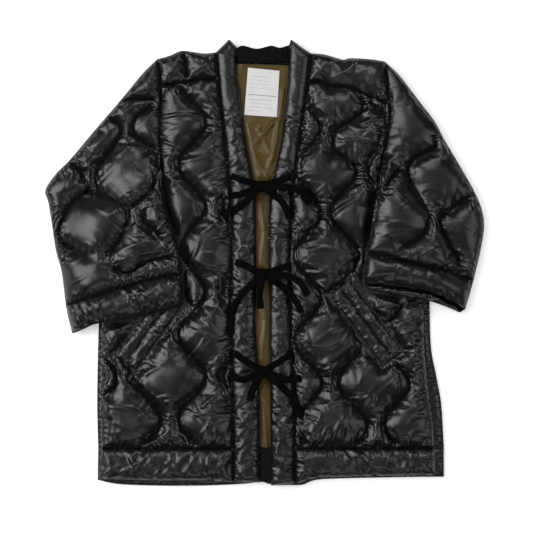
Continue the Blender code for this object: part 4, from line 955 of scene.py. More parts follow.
class Panel:
    """The upper cloth of one piece: where it lies, where it is stitched and how loose it is."""

    def __init__(self, name, outline, lines, height, stitched=None, step=STEP, gather=(0.0, 1.0),
                 ruche=RUCHE_HEIGHT, folds=QUILT_FOLDS, swell=SWELL_HEIGHT, edge_creases=True,
                 calm=COAT_REACH):
        self.name = name
        self.outline = outline
        self.lines = lines
        self.stitched = lines if stitched is None else stitched
        self.height = height
        self.gather = gather
        self.ruche = ruche
        self.folds = folds
        self.edge_creases = edge_creases
        self.calm = calm
        self.rng = np.random.default_rng(SEEDS[name])
        self.spots, self.faces, self.order = triangulate(outline, lines, step)
        self.near, second = self.to_seams(self.spots)
        self.gathered = gathered_share(self.near, second)
        self.held = self.near < HELD_WITHIN
        base, self.loose = height(self.spots, self.near)
        clear = smoothstep(SWELL_CLEAR, SWELL_EASE, self.near)
        lift = swell * field(self.spots, self.rng) * clear
        self.base = np.column_stack([self.spots, base])
        self.start = self.base.copy()
        self.start[:, 2] += lift * self.loose * ~self.held
        self.made = self.start.copy()

    def to_seams(self, points):
        """Distances to the nearest seam or stitched line and to the second nearest."""
        near = np.full(len(points), np.inf)
        second = np.full(len(points), np.inf)
        for run, closed in [(self.outline, True)] + [(line, False) for line in self.lines]:
            distance = distance_to(points, run, closed)
            second = np.minimum(second, np.maximum(distance, near))
            near = np.minimum(near, distance)
        return near, second

    def finished(self):
        """The made cloth once subdivided, with its gathers and creases."""
        coords, faces, held, near, between = subdivided(self.made, self.faces, self.held,
                                                        self.near)
        coords[:, 2] += self.detail(coords[:, :2]) * ~held
        return coords, faces, held, near, between

    def detail(self, points):
        """Height of the gathers and creases at points of the finer cloth."""
        near, second = self.to_seams(points)
        gathered = gathered_share(near, second)
        loose = self.height(points, near)[1]
        busy = 1.0 - smoothstep(self.calm - CALM_EASE, CALM_EASE, points[:, 1])
        lift = self.ruche * gathered * busy * self.ridges(points)
        if self.folds:
            lift += self.creases(points, gathered, busy)
        drawn = [(curve(run), rise, half) for run, rise, half in DRAWN_FOLDS.get(self.name, ())]
        lift += folds_lift(points, drawn, 1.0, 1.0, both_ends=True)
        return lift * smoothstep(0.0, SEAM_EASE, near) * loose

    def creases(self, points, gathered, busy):
        """Height of the scattered creases: puckers at the outline, longer ones at every seam."""
        gap, length, lean, rise, half_width = self.folds
        runs = [(line, (-1.0, 1.0)) for line in self.lines]
        border = (np.vstack([self.outline, self.outline[:1]]), (1.0,))
        puckers = scatter_folds([border], self.rng, *PUCKERS[:3])
        if self.edge_creases:
            runs.append(border)
        folds = scatter_folds(runs, self.rng, gap, length, lean)
        share = (1.0 - GATHER_CALMS * gathered) * blend(CALM_SHARE, 1.0, busy)
        return (folds_lift(points, puckers, *PUCKERS[3:])
                + share * folds_lift(points, folds, rise, half_width))

    def ridges(self, points):
        """Gathers from -1 to 1 that run along the necks in places and across them in others."""
        sway = RUCHE_SWAY * field(points, self.rng, RUCHE_SWAY_LENGTH)
        across = np.array(self.gather)
        along = -left_of(across)
        slant = RUCHE_SLANT[0] * across + RUCHE_SLANT[1] * along
        one = ripple(points @ slant + sway, self.rng, RUCHE_LENGTH)
        other = ripple(points @ along + sway, self.rng, RUCHE_LENGTH)
        patches = field(points, self.rng, RUCHE_PATCH)
        share = smoothstep(-RUCHE_TURN, 2 * RUCHE_TURN, patches)
        return one * share + other * (1.0 - share)


def gathered_share(near, second):
    """How gathered the cloth is, from how narrow it is between two seams."""
    return 1.0 - smoothstep(NECK_WIDTH, NECK_EASE, near + second)


def field(points, rng, length=FIELD_LENGTH):
    """A soft random field over the points, made of a few plane waves, from about -1 to 1."""
    total = np.zeros(len(points))
    for _ in range(FIELD_WAVES):
        angle = rng.uniform(0.0, math.pi)
        size = length * rng.uniform(*FIELD_SIZES)
        way = np.array([math.cos(angle), math.sin(angle)]) * 2 * math.pi / size
        total += np.sin(points @ way + rng.uniform(0.0, 2 * math.pi))
    return total * FIELD_SCALE / math.sqrt(FIELD_WAVES)


def hang_cloth(panel):
    """A panel's cloth as an object that the solver can inflate, held where it is stitched."""
    mesh = bpy.data.meshes.new("cloth_" + panel.name)
    mesh.from_pydata((panel.start * SIM_SCALE).tolist(), [], panel.faces.tolist())
    cloth = bpy.data.objects.new("cloth_" + panel.name, mesh)
    bpy.context.scene.collection.objects.link(cloth)
    hold = cloth.vertex_groups.new(name="hold")
    taut = cloth.vertex_groups.new(name="taut")
    open_share = 1.0 - panel.gathered * (1.0 - smoothstep(0.0, SLACK_REACH, panel.near))
    grip = np.where(panel.held, 1.0, WADDING_HOLD + TAUT_HOLD * (1 - panel.loose))
    for i, (weight, share) in enumerate(zip(grip, open_share)):
        hold.add([i], float(min(1.0, weight)), "REPLACE")
        taut.add([i], float(share), "REPLACE")
    modifier = cloth.modifiers.new("cloth", "CLOTH")
    settings = modifier.settings
    settings.quality = SIM_QUALITY
    settings.mass = SIM_MASS
    settings.tension_stiffness = SIM_STRETCH
    settings.compression_stiffness = SIM_STRETCH
    settings.shear_stiffness = SIM_SHEAR
    settings.bending_stiffness = SIM_BENDING
    settings.vertex_group_mass = "hold"
    settings.pin_stiffness = 1.0
    settings.vertex_group_shrink = "taut"
    settings.shrink_min = SLACK_SEAM
    settings.shrink_max = SLACK_OPEN
    settings.use_pressure = True
    settings.uniform_pressure_force = SIM_PRESSURE
    settings.effector_weights.gravity = 0.0
    modifier.collision_settings.use_collision = False
    modifier.point_cache.frame_start = 1
    modifier.point_cache.frame_end = SIM_FRAMES
    return cloth


def take_shape(panel, found):
    """Give a panel the places that the solver found, within a cap and not sunk too deep."""
    moved = found / SIM_SCALE - panel.start
    size = np.linalg.norm(moved, axis=1)
    cap = np.maximum(MOVE_CAP * panel.loose, TINY)
    moved *= (cap * np.tanh(size / cap) / np.maximum(size, TINY))[:, None]
    moved[panel.held] = 0.0
    panel.made = panel.start + moved
    level = panel.base[:, 2]
    lowest = level - SINK_SHARE * np.minimum(level, SINK_DEPTH)
    panel.made[:, 2] = np.maximum(panel.made[:, 2], lowest)


def simulate(panels):
    """Inflate every panel's cloth between its stitches, all of them side by side."""
    scene = bpy.context.scene
    cloths = [hang_cloth(panel) for panel in panels]
    for frame_number in range(1, SIM_FRAMES + 1):
        scene.frame_set(frame_number)
    graph = bpy.context.evaluated_depsgraph_get()
    for panel, cloth in zip(panels, cloths):
        found = np.empty(len(panel.spots) * 3)
        cloth.evaluated_get(graph).data.vertices.foreach_get("co", found)
        take_shape(panel, found.reshape(-1, 3))
    for cloth in cloths:
        mesh = cloth.data
        bpy.data.objects.remove(cloth)
        bpy.data.meshes.remove(mesh)
    scene.frame_set(1)


def subdivided(coords, faces, fixed, near):
    """One round of Loop subdivision that leaves the fixed points and the edges between them."""
    corners = np.array(faces)
    sides = np.vstack([corners[:, [0, 1]], corners[:, [1, 2]], corners[:, [2, 0]]])
    opposite = np.concatenate([corners[:, 2], corners[:, 0], corners[:, 1]])
    keys, index, count = np.unique(np.sort(sides, axis=1), axis=0, return_inverse=True,
                                   return_counts=True)
    index = index.ravel()
    wing = np.zeros((len(keys), 3))
    np.add.at(wing, index, coords[opposite])
    middle = 0.5 * (coords[keys[:, 0]] + coords[keys[:, 1]])
    soft = (count == 2) & ~(fixed[keys[:, 0]] & fixed[keys[:, 1]])
    middle[soft] = EDGE_WEIGHT * middle[soft] + WING_WEIGHT * wing[soft]
    total = np.zeros_like(coords)
    degree = np.zeros(len(coords))
    for a, b in ((0, 1), (1, 0)):
        np.add.at(total, keys[:, a], coords[keys[:, b]])
        np.add.at(degree, keys[:, a], 1.0)
    mean = total / np.maximum(degree, 1.0)[:, None]
    eased = OWN_WEIGHT * coords + RING_WEIGHT * mean
    points = np.where(fixed[:, None], coords, eased)
    first = len(coords)
    ab, bc, ca = (first + index[k * len(corners):(k + 1) * len(corners)] for k in range(3))
    a, b, c = corners.T
    finer = np.vstack([np.column_stack(t) for t in
                       ((a, ab, ca), (ab, b, bc), (ca, bc, c), (ab, bc, ca))])
    near_all = np.concatenate([near, 0.5 * (near[keys[:, 0]] + near[keys[:, 1]])])
    held = np.concatenate([fixed, fixed[keys[:, 0]] & fixed[keys[:, 1]]])
    between = {tuple(key): first + i for i, key in enumerate(keys.tolist())}
    return np.vstack([points, middle]), finer, held, near_all, between


def ring_with_middles(order, between):
    """The outline's points after a subdivision, with the new ones between the old."""
    ring = []
    for i, j in zip(order, order[1:] + order[:1]):
        ring.append(i)
        ring.append(between[(min(i, j), max(i, j))])
    return ring


def mark_seams(mesh, held):
    """Keep the shading of the cloth apart on the two sides of each stitched line."""
    ends = np.empty(2 * len(mesh.edges), dtype=np.int32)
    mesh.edges.foreach_get("vertices", ends)
    seam = np.zeros(len(mesh.vertices), dtype=bool)
    seam[:len(held)] = held
    sharp = seam[ends[0::2]] & seam[ends[1::2]]
    layer = mesh.attributes.new("sharp_edge", "BOOLEAN", "EDGE")
    layer.data.foreach_set("value", sharp)


def add_piece(name, material, coords, faces, node=None, near=None, sharp=None,
              held=None):
    """A named mesh that rides on the coat and stands for its solid."""
    mesh = bpy.data.meshes.new(name)
    mesh.from_pydata(np.asarray(coords).tolist(), [], faces)
    if near is not None:
        layer = mesh.attributes.new("seam_distance", "FLOAT", "POINT")
        layer.data.foreach_set("value", np.asarray(near, dtype=np.float32))
    mesh.shade_smooth()
    if sharp is not None:
        mesh.set_sharp_from_angle(angle=math.radians(sharp))
    if held is not None:
        mark_seams(mesh, held)
    mesh.materials.append(material)
    piece = bpy.data.objects.new(name, mesh)
    bpy.context.scene.collection.objects.link(piece)
    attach(piece, "root")
    if node:
        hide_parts(node)
    return piece


def panel_solid(panel, rest):
    """The panel's cloth closed by a wall and an underside: points, faces, seam distances, held."""
    coords, faces, held, near, between = panel.finished()
    ring = ring_with_middles(panel.order, between)
    side = coords[ring]
    side[:, 2] = 0.5 * (rest + side[:, 2])
    lower = coords[ring]
    lower[:, 2] = rest
    first = len(coords)
    count = len(ring)
    coords = np.vstack([coords, side, lower])
    near = np.concatenate([near, np.zeros(2 * count)])
    polygons = faces.tolist()
    for i in range(count):
        j = (i + 1) % count
        polygons.append((first + i, first + j, ring[j], ring[i]))
        polygons.append((first + count + i, first + count + j, first + j, first + i))
    polygons.append(tuple(first + count + i for i in reversed(range(count))))
    return coords, polygons, near, held


def crown(near, reach):
    """Share of the full puff at a distance from the nearest stitched line."""
    broad = np.sin(0.5 * math.pi * np.minimum(1.0, near / reach)) ** PUFF_CROWN
    roll = np.sin(0.5 * math.pi * np.minimum(1.0, near / ROLL_REACH))
    return (1.0 - ROLL_SHARE) * broad + ROLL_SHARE * roll


def front_height(cover, welt):
    """Height and looseness of a front: puffs, pressed below the sleeve and at the pocket welt."""
    upper_end, lower_end, seat = welt
    seat_outline = strip(upper_end, lower_end, SEAT_WIDTH)

    def height(points, near):
        free = smoothstep(PRESS_START, PRESS_LENGTH, outside_by(points, cover))
        share = blend(PRESSED_SHARE, 1.0, free)
        puffed = FRONT_REST + SEAM_WALL + PUFF * crown(near, PUFF_REACH) * share
        away = outside_by(points, seat_outline)
        loose = (blend(PRESSED_LOOSE, 1.0, free)
                 * blend(SEAT_LOOSE, 1.0, smoothstep(0.0, WELT_KEEP, away)))
        return blend(seat, puffed, smoothstep(0.0, WELT_EASE, away)), loose

    return height


def soft_height(level, rise, reach, loose):
    """Height and looseness of a plain piece: a level with a soft crown over it."""

    def height(points, near):
        return level + rise * crown(near, reach), np.full(len(points), loose)

    return height


def band_height(points, near):
    """Height and looseness of a plain padded band, which is smoother towards the neck."""
    lift = BAND_PUFF * crown(near, BAND_REACH)
    smooth = smoothstep(BAND_SMOOTH_START, BAND_SMOOTH_LENGTH, points[:, 1])
    return FRONT_REST + SEAM_WALL + lift, BAND_LOOSE - BAND_TAUT * smooth


class Tube:
    """A sleeve or cuff lying flat: where its edges are and how it climbs onto the body."""

    def __init__(self, edges, body, drop):
        edges = [curve(points) for points in edges]
        outline = inset(loop_of(*edges), 0.5 * GAP)
        count = len(outline)
        corner = [int(np.argmin(np.linalg.norm(outline - edge[0], axis=1))) for edge in edges]
        self.forward = (corner[1] - corner[0]) % count < count / 2
        if not self.forward:
            outline = outline[::-1].copy()
            corner = [count - 1 - i for i in corner]
        self.outline = np.roll(outline, -corner[0], axis=0)
        _, self.mouth, self.inner, self.seam = [(i - corner[0]) % count for i in corner]
        self.body = body
        self.drop = drop

    def rest(self, points):
        """Level of the underside: on the floor outside the body, on the body over it."""
        off_body = smoothstep(RAMP_START, RAMP_LENGTH, outside_by(points, self.body))
        return OVER_BODY * (1.0 - off_body)

    def middle(self, points):
        """Level of the slit between the two walls."""
        return self.rest(points) + BACK_WALL + 0.5 * (GAP + SLEEVE_SLIT)

    def height(self, points, near):
        """Height and looseness of the upper wall."""
        runs = (self.outline[:self.mouth + 1], self.outline[self.inner:self.seam + 1])
        to_side = np.min([distance_to(points, run) for run in runs], axis=0)
        wall = blend(EDGE_WALL, SEAM_WALL, smoothstep(0.0, SIDE_EASE, to_side))
        rise = PUFF * crown(near, PUFF_REACH)
        return self.middle(points) + 0.5 * SLEEVE_SLIT + wall + rise, np.ones(len(points))


def lip_rings(start, end, hidden, shown, level, run):
    """Rows of points across the lower lip of a cuff, crumpled where the lip shows."""
    rng = np.random.default_rng(SEEDS["lip_folds"])
    waves = ripple(run, rng, LIP_FOLD)
    ragged = LIP_RAGGED * ripple(run, rng, LIP_TEETH)
    rows = []
    for share in np.linspace(0.0, 1.0, LIP_ROWS + 2)[1:-1]:
        spot = blend(start, end, share)
        beyond = share * (hidden + shown) - hidden + ragged
        far = smoothstep(*LIP_FAR, share)
        rise = smoothstep(*LIP_RISE, beyond) * (1.0 - LIP_FAR_DROP * far)
        uneven = field(spot, np.random.default_rng(SEEDS["lip_patches"]), LIP_PATCH)
        crumple = LIP_LEVEL + LIP_CRUMPLE * (waves * math.sin(math.pi * share) + uneven)
        dip = smoothstep(*LIP_DIP_IN, beyond) * (1.0 - smoothstep(*LIP_DIP_OUT, beyond))
        lift = LIP_HEIGHT * rise * crumple - LIP_DIP * dip
        rows.append(np.column_stack([spot, level + lift]))
    return rows


def tube_rings(tube):
    """Rings of points round a tube's edge from its upper wall down, and the underside's outline."""
    outline = tube.outline
    index = np.arange(len(outline))
    run = run_lengths(outline)
    inwards = unit(inset(outline, 1.0 if tube.forward else -1.0) - outline)
    at_mouth = (index >= tube.mouth) & (index <= tube.inner)
    at_seam = index >= tube.seam
    along = (run - run[tube.mouth]) / (run[tube.inner] - run[tube.mouth])
    along = np.clip(along, 0.0, 1.0)
    hump = np.where(at_mouth, np.sin(math.pi * along), 0.0)
    recess = LIP_RECESS * np.minimum(1.0, RECESS_EASE * hump) * (tube.drop > 0)
    arc = np.where(at_mouth, np.sin(math.pi * (LIP_ARC[0] + LIP_ARC[1] * along)), 0.0)
    lip = tube.drop * np.sqrt(arc) * np.minimum(1.0, LIP_EASE * hump)
    corners = run[[0, tube.mouth, tube.inner, tube.seam]]
    from_corner = np.min(np.abs(run[:, None] - corners[None, :]), axis=1)
    undercut = EDGE_UNDERCUT * smoothstep(0.0, CORNER_EASE, from_corner) * ~(at_mouth | at_seam)
    middle = tube.middle(outline)
    slit = 0.5 * SLEEVE_SLIT
    lipped = outline - np.column_stack([np.zeros(len(outline)), lip])
    inner_edge = outline + inwards * recess[:, None]
    rings = [np.column_stack([outline, middle + slit]), np.column_stack([inner_edge, middle])]
    if tube.drop > 0:
        rings.extend(lip_rings(inner_edge, lipped, recess, lip, middle - slit, run))
    rings.append(np.column_stack([lipped, middle - slit]))
    side_level = blend(tube.rest(outline), middle, EDGE_LEVEL)
    rings.append(np.column_stack([lipped - inwards * EDGE_OUT, side_level]))
    return rings, lipped + inwards * undercut[:, None]


def tube_solid(tube, panel):
    """The tube's upper cloth closed round its edges, with a slot at its mouth: points and faces."""
    coords, faces, held, near, between = panel.finished()
    rings, under = tube_rings(tube)
    under_spots, under_faces, under_order = triangulate(under, (), UNDER_STEP)
    bottom = np.column_stack([under_spots, tube.rest(under_spots)])
    count = len(tube.outline)
    order = panel.order
    ring_start = [len(coords) + k * count for k in range(len(rings))]
    last = ring_start[-1]
    base = last + count
    coords = np.vstack([coords, *rings, bottom])
    near = np.concatenate([near, np.zeros(len(rings) * count + len(bottom))])
    walls = []
    for i in range(count):
        j = (i + 1) % count
        edge = between[(min(order[i], order[j]), max(order[i], order[j]))]
        walls.append((ring_start[0] + i, ring_start[0] + j, order[j], edge, order[i]))
        for low, high in zip(ring_start[1:], ring_start):
            walls.append((low + i, low + j, high + j, high + i))
        walls.append((base + under_order[i], base + under_order[j], last + j, last + i))
    if not tube.forward:
        walls = [wall[::-1] for wall in walls]
    underside = (base + under_faces)[:, ::-1].tolist()
    return coords, faces.tolist() + underside + walls, near, held


class Surface:
    """The height of everything built so far, seen from above."""

    def __init__(self):
        self.trees = []

    def add(self, coords, faces):
        """Take one more piece in."""
        self.trees.append(BVHTree.FromPolygons([tuple(c) for c in coords], faces))

    def height(self, x, y):
        """Height of the topmost point at one place."""
        top = 0.0
        for tree in self.trees:
            hit = tree.ray_cast(Vector((x, y, 1.0)), Vector((0.0, 0.0, -1.0)))
            if hit[0]:
                top = max(top, hit[0].z)
        return top


def body_outline(side):
    """The back's outline on one side from the armhole's lower end, which the sleeve climbs."""
    armpit = ARMPIT[side]
    return loop_of(curve(armpit), curve(BACK_SIDE[side]), [(0.0, HEM_SEAM_Y), (0.0, armpit[0][1])])


def sleeve_cover(side):
    """The area that the sleeve and the cuff hide on the body, down to the cuff's lower lip."""
    lip = curve(CUFF_MOUTH[side])[::-1] - np.array([0.0, MOUTH_DROP[side]])
    reach = WAY[side] * COAT_REACH
    corners = [(reach, lip[-1][1]), (reach, INNER[side][0][1])]
    return loop_of(curve(INNER[side]), curve(CUFF_INNER[side]), lip, corners)


def strip(start, end, width):
    """A rectangle around a straight line, as an outline."""
    start = np.array(start)
    end = np.array(end)
    across = left_of((end - start) / np.linalg.norm(end - start)) * 0.5 * width
    return filled(loop_of(np.array([start + across, end + across, end - across,
                                    start - across])))


def front_panel(side):
    """One front with its stitched waves and the seat of its welt."""
    flank, seam, welt = FRONT_SIDE[side], BAND_SEAM[side], WELT[side]
    outline = loop_of(curve(SHOULDER[side]), curve(ARMHOLE[side]), curve(ARMPIT[side]),
                      curve(flank), curve((flank[-1], seam[-1])), curve(seam)[::-1])
    outline = inset(outline, 0.5 * GAP)
    seat = strip(welt[0], welt[1], SEAT_WIDTH)
    yoke = curve(YOKE[side])
    yoke_x, yoke_y = yoke[np.argsort(yoke[:, 0])].T
    stitched = []
    for index, (centre, lean, crest, way) in enumerate(FRONT_WAVES[side]):
        whole = wave(centre, lean, crest, way)
        if side == "left" and index == LEFT_START_WAVE:
            whole = after_start(whole)
        below = whole[:, 1] < np.interp(whole[:, 0], yoke_x, yoke_y) - LINE_MARGIN
        for line in clipped(whole[below], outline, LINE_MARGIN):
            stitched.extend(clipped(line, seat, LINE_MARGIN, False))
    for points in (YOKE[side], *PLEATS[side]):
        stitched.extend(clipped(curve(points), outline, 0.5 * LINE_MARGIN))
    lines = [*stitched, np.vstack([seat, seat[:1]])]
    return Panel("front_" + side, outline, lines, front_height(sleeve_cover(side), welt),
                 stitched=stitched, calm=YOKE_CALM)


def sleeve_panels(side):
    """The upper walls of one sleeve and its cuff, with their tubes."""
    body = body_outline(side)
    sleeve = Tube((OUTER[side], CUFF_SEAM[side], INNER[side][::-1], ARMHOLE[side][::-1]), body, 0.0)
    stitched = []
    for points in SLEEVE_WAVES[side]:
        stitched.extend(clipped(curve(points), sleeve.outline, SLEEVE_LINE_MARGIN))
    cuff = Tube((CUFF_FOLD[side], CUFF_MOUTH[side], CUFF_INNER[side][::-1],
                 CUFF_SEAM[side][::-1]), body, MOUTH_DROP[side])
    sleeve_cloth = Panel("sleeve_" + side, sleeve.outline, stitched, sleeve.height,
                         gather=SLEEVE_WAY[side], folds=SLEEVE_FOLDS, edge_creases=False,
                         calm=SLEEVE_CALM[side])
    cuff_cloth = Panel("cuff_" + side, cuff.outline, (), cuff.height, ruche=PLAIN_RUCHE,
                       folds=CUFF_FOLDS)
    return [(sleeve, sleeve_cloth), (cuff, cuff_cloth)]


def fill(made, values):
    """Fill in a node's sockets by their names."""
    for socket, value in values.items():
        made.inputs[socket].default_value = value


def make_material(name):
    """A node material, its tree, its shader and the coat's own coordinates."""
    material = bpy.data.materials.new(name)
    material.use_nodes = True
    tree = material.node_tree
    coords = node(tree, "ShaderNodeTexCoord").outputs["Object"]
    return material, tree, tree.nodes["Principled BSDF"], coords


def node(tree, kind, **values):
    """A node with its sockets or settings filled in."""
    made = tree.nodes.new(kind)
    for key, value in values.items():
        if key in made.inputs:
            made.inputs[key].default_value = value
        else:
            setattr(made, key, value)
    return made


def noise(tree, coords, scale, detail=3.0, distortion=0.0, roughness=0.5):
    """A noise texture on the coat's own coordinates."""
    made = node(tree, "ShaderNodeTexNoise", Scale=scale, Detail=detail, Distortion=distortion,
                Roughness=roughness)
    tree.links.new(coords, made.inputs["Vector"])
    return made.outputs["Fac"]


def spread(tree, value, come, go):
    """Map one range of a value to another."""
    made = node(tree, "ShaderNodeMapRange")
    fill(made, {"From Min": come[0], "From Max": come[1], "To Min": go[0], "To Max": go[1]})
    tree.links.new(value, made.inputs["Value"])
    return made.outputs["Result"]


def product(tree, first, second):
    """The product of two values."""
    made = node(tree, "ShaderNodeMath", operation="MULTIPLY")
    tree.links.new(first, made.inputs[0])
    tree.links.new(second, made.inputs[1])
    return made.outputs["Value"]


def bump(tree, height, distance, strength, below=None):
    """A bump on top of another."""
    made = node(tree, "ShaderNodeBump", Strength=strength, Distance=distance)
    tree.links.new(height, made.inputs["Height"])
    if below is not None:
        tree.links.new(below, made.inputs["Normal"])
    return made.outputs["Normal"]


def threads(tree, coords, way, period, distortion=0.0):
    """Ridges side by side, one for each period."""
    made = node(tree, "ShaderNodeTexWave", bands_direction=way, Distortion=distortion,
                Scale=2 * math.pi / WAVE_RADIANS / period)
    tree.links.new(coords, made.inputs["Vector"])
    return made.outputs["Fac"]


def weave(tree, coords, period, distance, strength, below=None):
    """Fine crossing threads."""
    crossing = product(tree, threads(tree, coords, "X", period), threads(tree, coords, "Y", period))
    return bump(tree, crossing, distance, strength, below)


def two_tone(tree, shader, value, dark, light):
    """Base colour that drifts between two close tones."""
    ramp = node(tree, "ShaderNodeValToRGB")
    for stop, colour, place in zip(ramp.color_ramp.elements, (dark, light), NOISE_RANGE):
        stop.color = (*colour, 1.0)
        stop.position = place
    tree.links.new(value, ramp.inputs["Fac"])
    tree.links.new(ramp.outputs["Color"], shader.inputs["Base Color"])


def nylon(name, dark, light, gloss, crinkle, shine):
    """Thin glossy woven nylon with soft creases, finer and deeper near its seams."""
    material, tree, shader, coords = make_material(name)
    two_tone(tree, shader, noise(tree, coords, scale=14.0), dark, light)
    patches = noise(tree, coords, scale=22.0, detail=4.0, distortion=0.4)
    rough = spread(tree, patches, NOISE_RANGE, (gloss - 0.05, gloss + 0.06))
    seam = node(tree, "ShaderNodeAttribute", attribute_name="seam_distance").outputs["Fac"]
    close = spread(tree, seam, (0.0, 0.014), (1.0, 0.2))
    soft = noise(tree, coords, scale=34.0, distortion=0.2)
    fine = noise(tree, coords, scale=95.0, detail=4.0, distortion=0.8, roughness=0.6)
    normal = bump(tree, soft, distance=0.0010 * crinkle, strength=0.5)
    normal = bump(tree, product(tree, fine, close), distance=0.0006 * crinkle, strength=0.5,
                  below=normal)
    normal = weave(tree, coords, period=0.0006, distance=0.0001, strength=0.25, below=normal)
    tree.links.new(rough, shader.inputs["Roughness"])
    tree.links.new(normal, shader.inputs["Normal"])
    shader.inputs["Specular IOR Level"].default_value = shine
    return material


def dull(shader, roughness, shine, sheen, sheen_roughness):
    """Make a shader's surface dull, with a faint sheen."""
    fill(shader, {"Roughness": roughness, "Specular IOR Level": shine, "Sheen Weight": sheen,
                  "Sheen Roughness": sheen_roughness, "Sheen Tint": SHEEN_TINT})


def tape_material():
    """Matte twill tape."""
    material, tree, shader, coords = make_material("tape_twill")
    two_tone(tree, shader, noise(tree, coords, scale=160.0, detail=4.0),
             dark=(0.0014, 0.0014, 0.0015), light=(0.0036, 0.0036, 0.0038))
    fuzz = noise(tree, coords, scale=420.0, detail=4.0)
    twill = threads(tree, coords, "DIAGONAL", period=0.0011, distortion=1.5)
    normal = bump(tree, fuzz, distance=0.0004, strength=0.6)
    normal = bump(tree, twill, distance=0.0003, strength=0.7, below=normal)
    tree.links.new(normal, shader.inputs["Normal"])
    dull(shader, roughness=0.9, shine=0.03, sheen=0.01, sheen_roughness=0.6)
    return material


def pile_material():
    """Dull knitted pile inside the neck."""
    material, tree, shader, coords = make_material("nape_pile")
    two_tone(tree, shader, noise(tree, coords, scale=240.0, detail=5.0),
             dark=(0.0025, 0.0025, 0.0030), light=(0.0090, 0.0090, 0.0095))
    loops = noise(tree, coords, scale=180.0, detail=5.0, distortion=0.5)
    fibres = noise(tree, coords, scale=900.0)
    normal = bump(tree, loops, distance=0.0015, strength=0.8)
    normal = bump(tree, fibres, distance=0.0006, strength=0.8, below=normal)
    tree.links.new(normal, shader.inputs["Normal"])
    dull(shader, roughness=0.95, shine=0.04, sheen=0.02, sheen_roughness=0.5)
    return material


def label_material():
    """White woven satin."""
    material, tree, shader, coords = make_material("label_satin")
    two_tone(tree, shader, noise(tree, coords, scale=60.0), dark=(0.62, 0.61, 0.60),
             light=(0.68, 0.67, 0.66))
    shader.inputs["Roughness"].default_value = 0.55
    normal = weave(tree, coords, period=0.0005, distance=0.0001, strength=0.4)
    tree.links.new(normal, shader.inputs["Normal"])
    return material


def plain_material(name, colour, roughness, metallic=0.0, grain=700.0, shine=0.5):
    """A simple finish with a fine grain."""
    material, tree, shader, coords = make_material(name)
    fill(shader, {"Base Color": (*colour, 1.0), "Metallic": metallic,
                  "Specular IOR Level": shine})
    grains = noise(tree, coords, grain)
    rough = spread(tree, grains, NOISE_RANGE, (roughness - 0.05, roughness + 0.05))
    tree.links.new(rough, shader.inputs["Roughness"])
    tree.links.new(bump(tree, grains, distance=0.0001, strength=0.3), shader.inputs["Normal"])
    return material


MATERIALS = {
    "shell": nylon("shell_nylon", dark=(0.0026, 0.0022, 0.0022), light=(0.0046, 0.0038, 0.0038),
                   gloss=0.29, crinkle=1.0, shine=0.47),
    "lining": nylon("lining_nylon", dark=(0.050, 0.030, 0.0038), light=(0.084, 0.054, 0.0096),
                    gloss=0.34, crinkle=1.8, shine=0.30),
    # The hem facing is the shell's nylon painted darker and given little shine: painted shade of
    # the deep gap between the bands.
    "facing": nylon("shaded_facing_nylon", dark=(0.0022, 0.0021, 0.0023), light=(0.0040, 0.0037, 0.0040),
                    gloss=0.45, crinkle=1.0, shine=0.12),
    "tape": tape_material(),
    "pile": pile_material(),
    "label": label_material(),
    # The thread is black, and its shine is taken away so that it also paints the shade at the
    # bottom of each stitched groove.
    "thread_and_groove_shade": plain_material("thread_and_groove_shade", (0.002, 0.002, 0.0022), roughness=0.95, shine=0.0),
    "piping": nylon("piping_nylon", dark=(0.036, 0.022, 0.0050), light=(0.050, 0.033, 0.0080),
                    gloss=0.45, crinkle=0.4, shine=0.22),
    "rule": plain_material("label_rule", (0.10, 0.10, 0.10), roughness=0.7),
    "faint_rule": plain_material("label_faint_rule", (0.32, 0.32, 0.32), roughness=0.7),
    "snap": plain_material("snap_metal", (0.060, 0.060, 0.064), roughness=0.32, metallic=0.8),
}


def add_camera():
    """Straight down, as the photograph looks at the coat."""
    data = bpy.data.cameras.new("camera")
    data.sensor_width = SENSOR
    data.lens = SENSOR * CAMERA_DISTANCE / PHOTO_WIDTH
    camera = bpy.data.objects.new("camera", data)
    bpy.context.scene.collection.objects.link(camera)
    camera.location = (*CAMERA_AIM, CAMERA_PLANE + CAMERA_DISTANCE)
    bpy.context.scene.camera = camera


def add_light(name, place, size, energy):
    """A soft box that points at the coat."""
    data = bpy.data.lights.new(name, "AREA")
    data.shape = "RECTANGLE"
    data.size, data.size_y = size
    data.energy = energy
    light = bpy.data.objects.new(name, data)
    light.location = place
    light.rotation_euler = (-Vector(place)).to_track_quat("-Z", "Y").to_euler()
    bpy.context.scene.collection.objects.link(light)


def add_floor():
    """Pale paper below the coat."""
    size = FLOOR_HALF
    mesh = bpy.data.meshes.new("floor")
    corners = [(-size, -size, 0), (size, -size, 0), (size, size, 0), (-size, size, 0)]
    mesh.from_pydata(corners, [], [(0, 1, 2, 3)])
    paper = plain_material("floor_paper", (0.93, 0.93, 0.93), 0.9, grain=30.0)
    fill(paper.node_tree.nodes["Principled BSDF"],
         {"Emission Color": WHITE, "Emission Strength": FLOOR_GLOW})
    mesh.materials.append(paper)
    floor = bpy.data.objects.new("floor", mesh)
    floor.location.z = -FLOOR_DROP
    bpy.context.scene.collection.objects.link(floor)


def add_studio():
    """Pale floor, soft boxes and an even surround."""
    scene = bpy.context.scene
    scene.view_settings.view_transform = "Standard"
    add_floor()
    world = bpy.data.worlds.new("studio")
    world.use_nodes = True
    fill(world.node_tree.nodes["Background"], {"Color": WHITE, "Strength": SURROUND})
    scene.world = world
    for name, place, size, energy in SOFT_BOXES:
        add_light(name, place, size, energy)


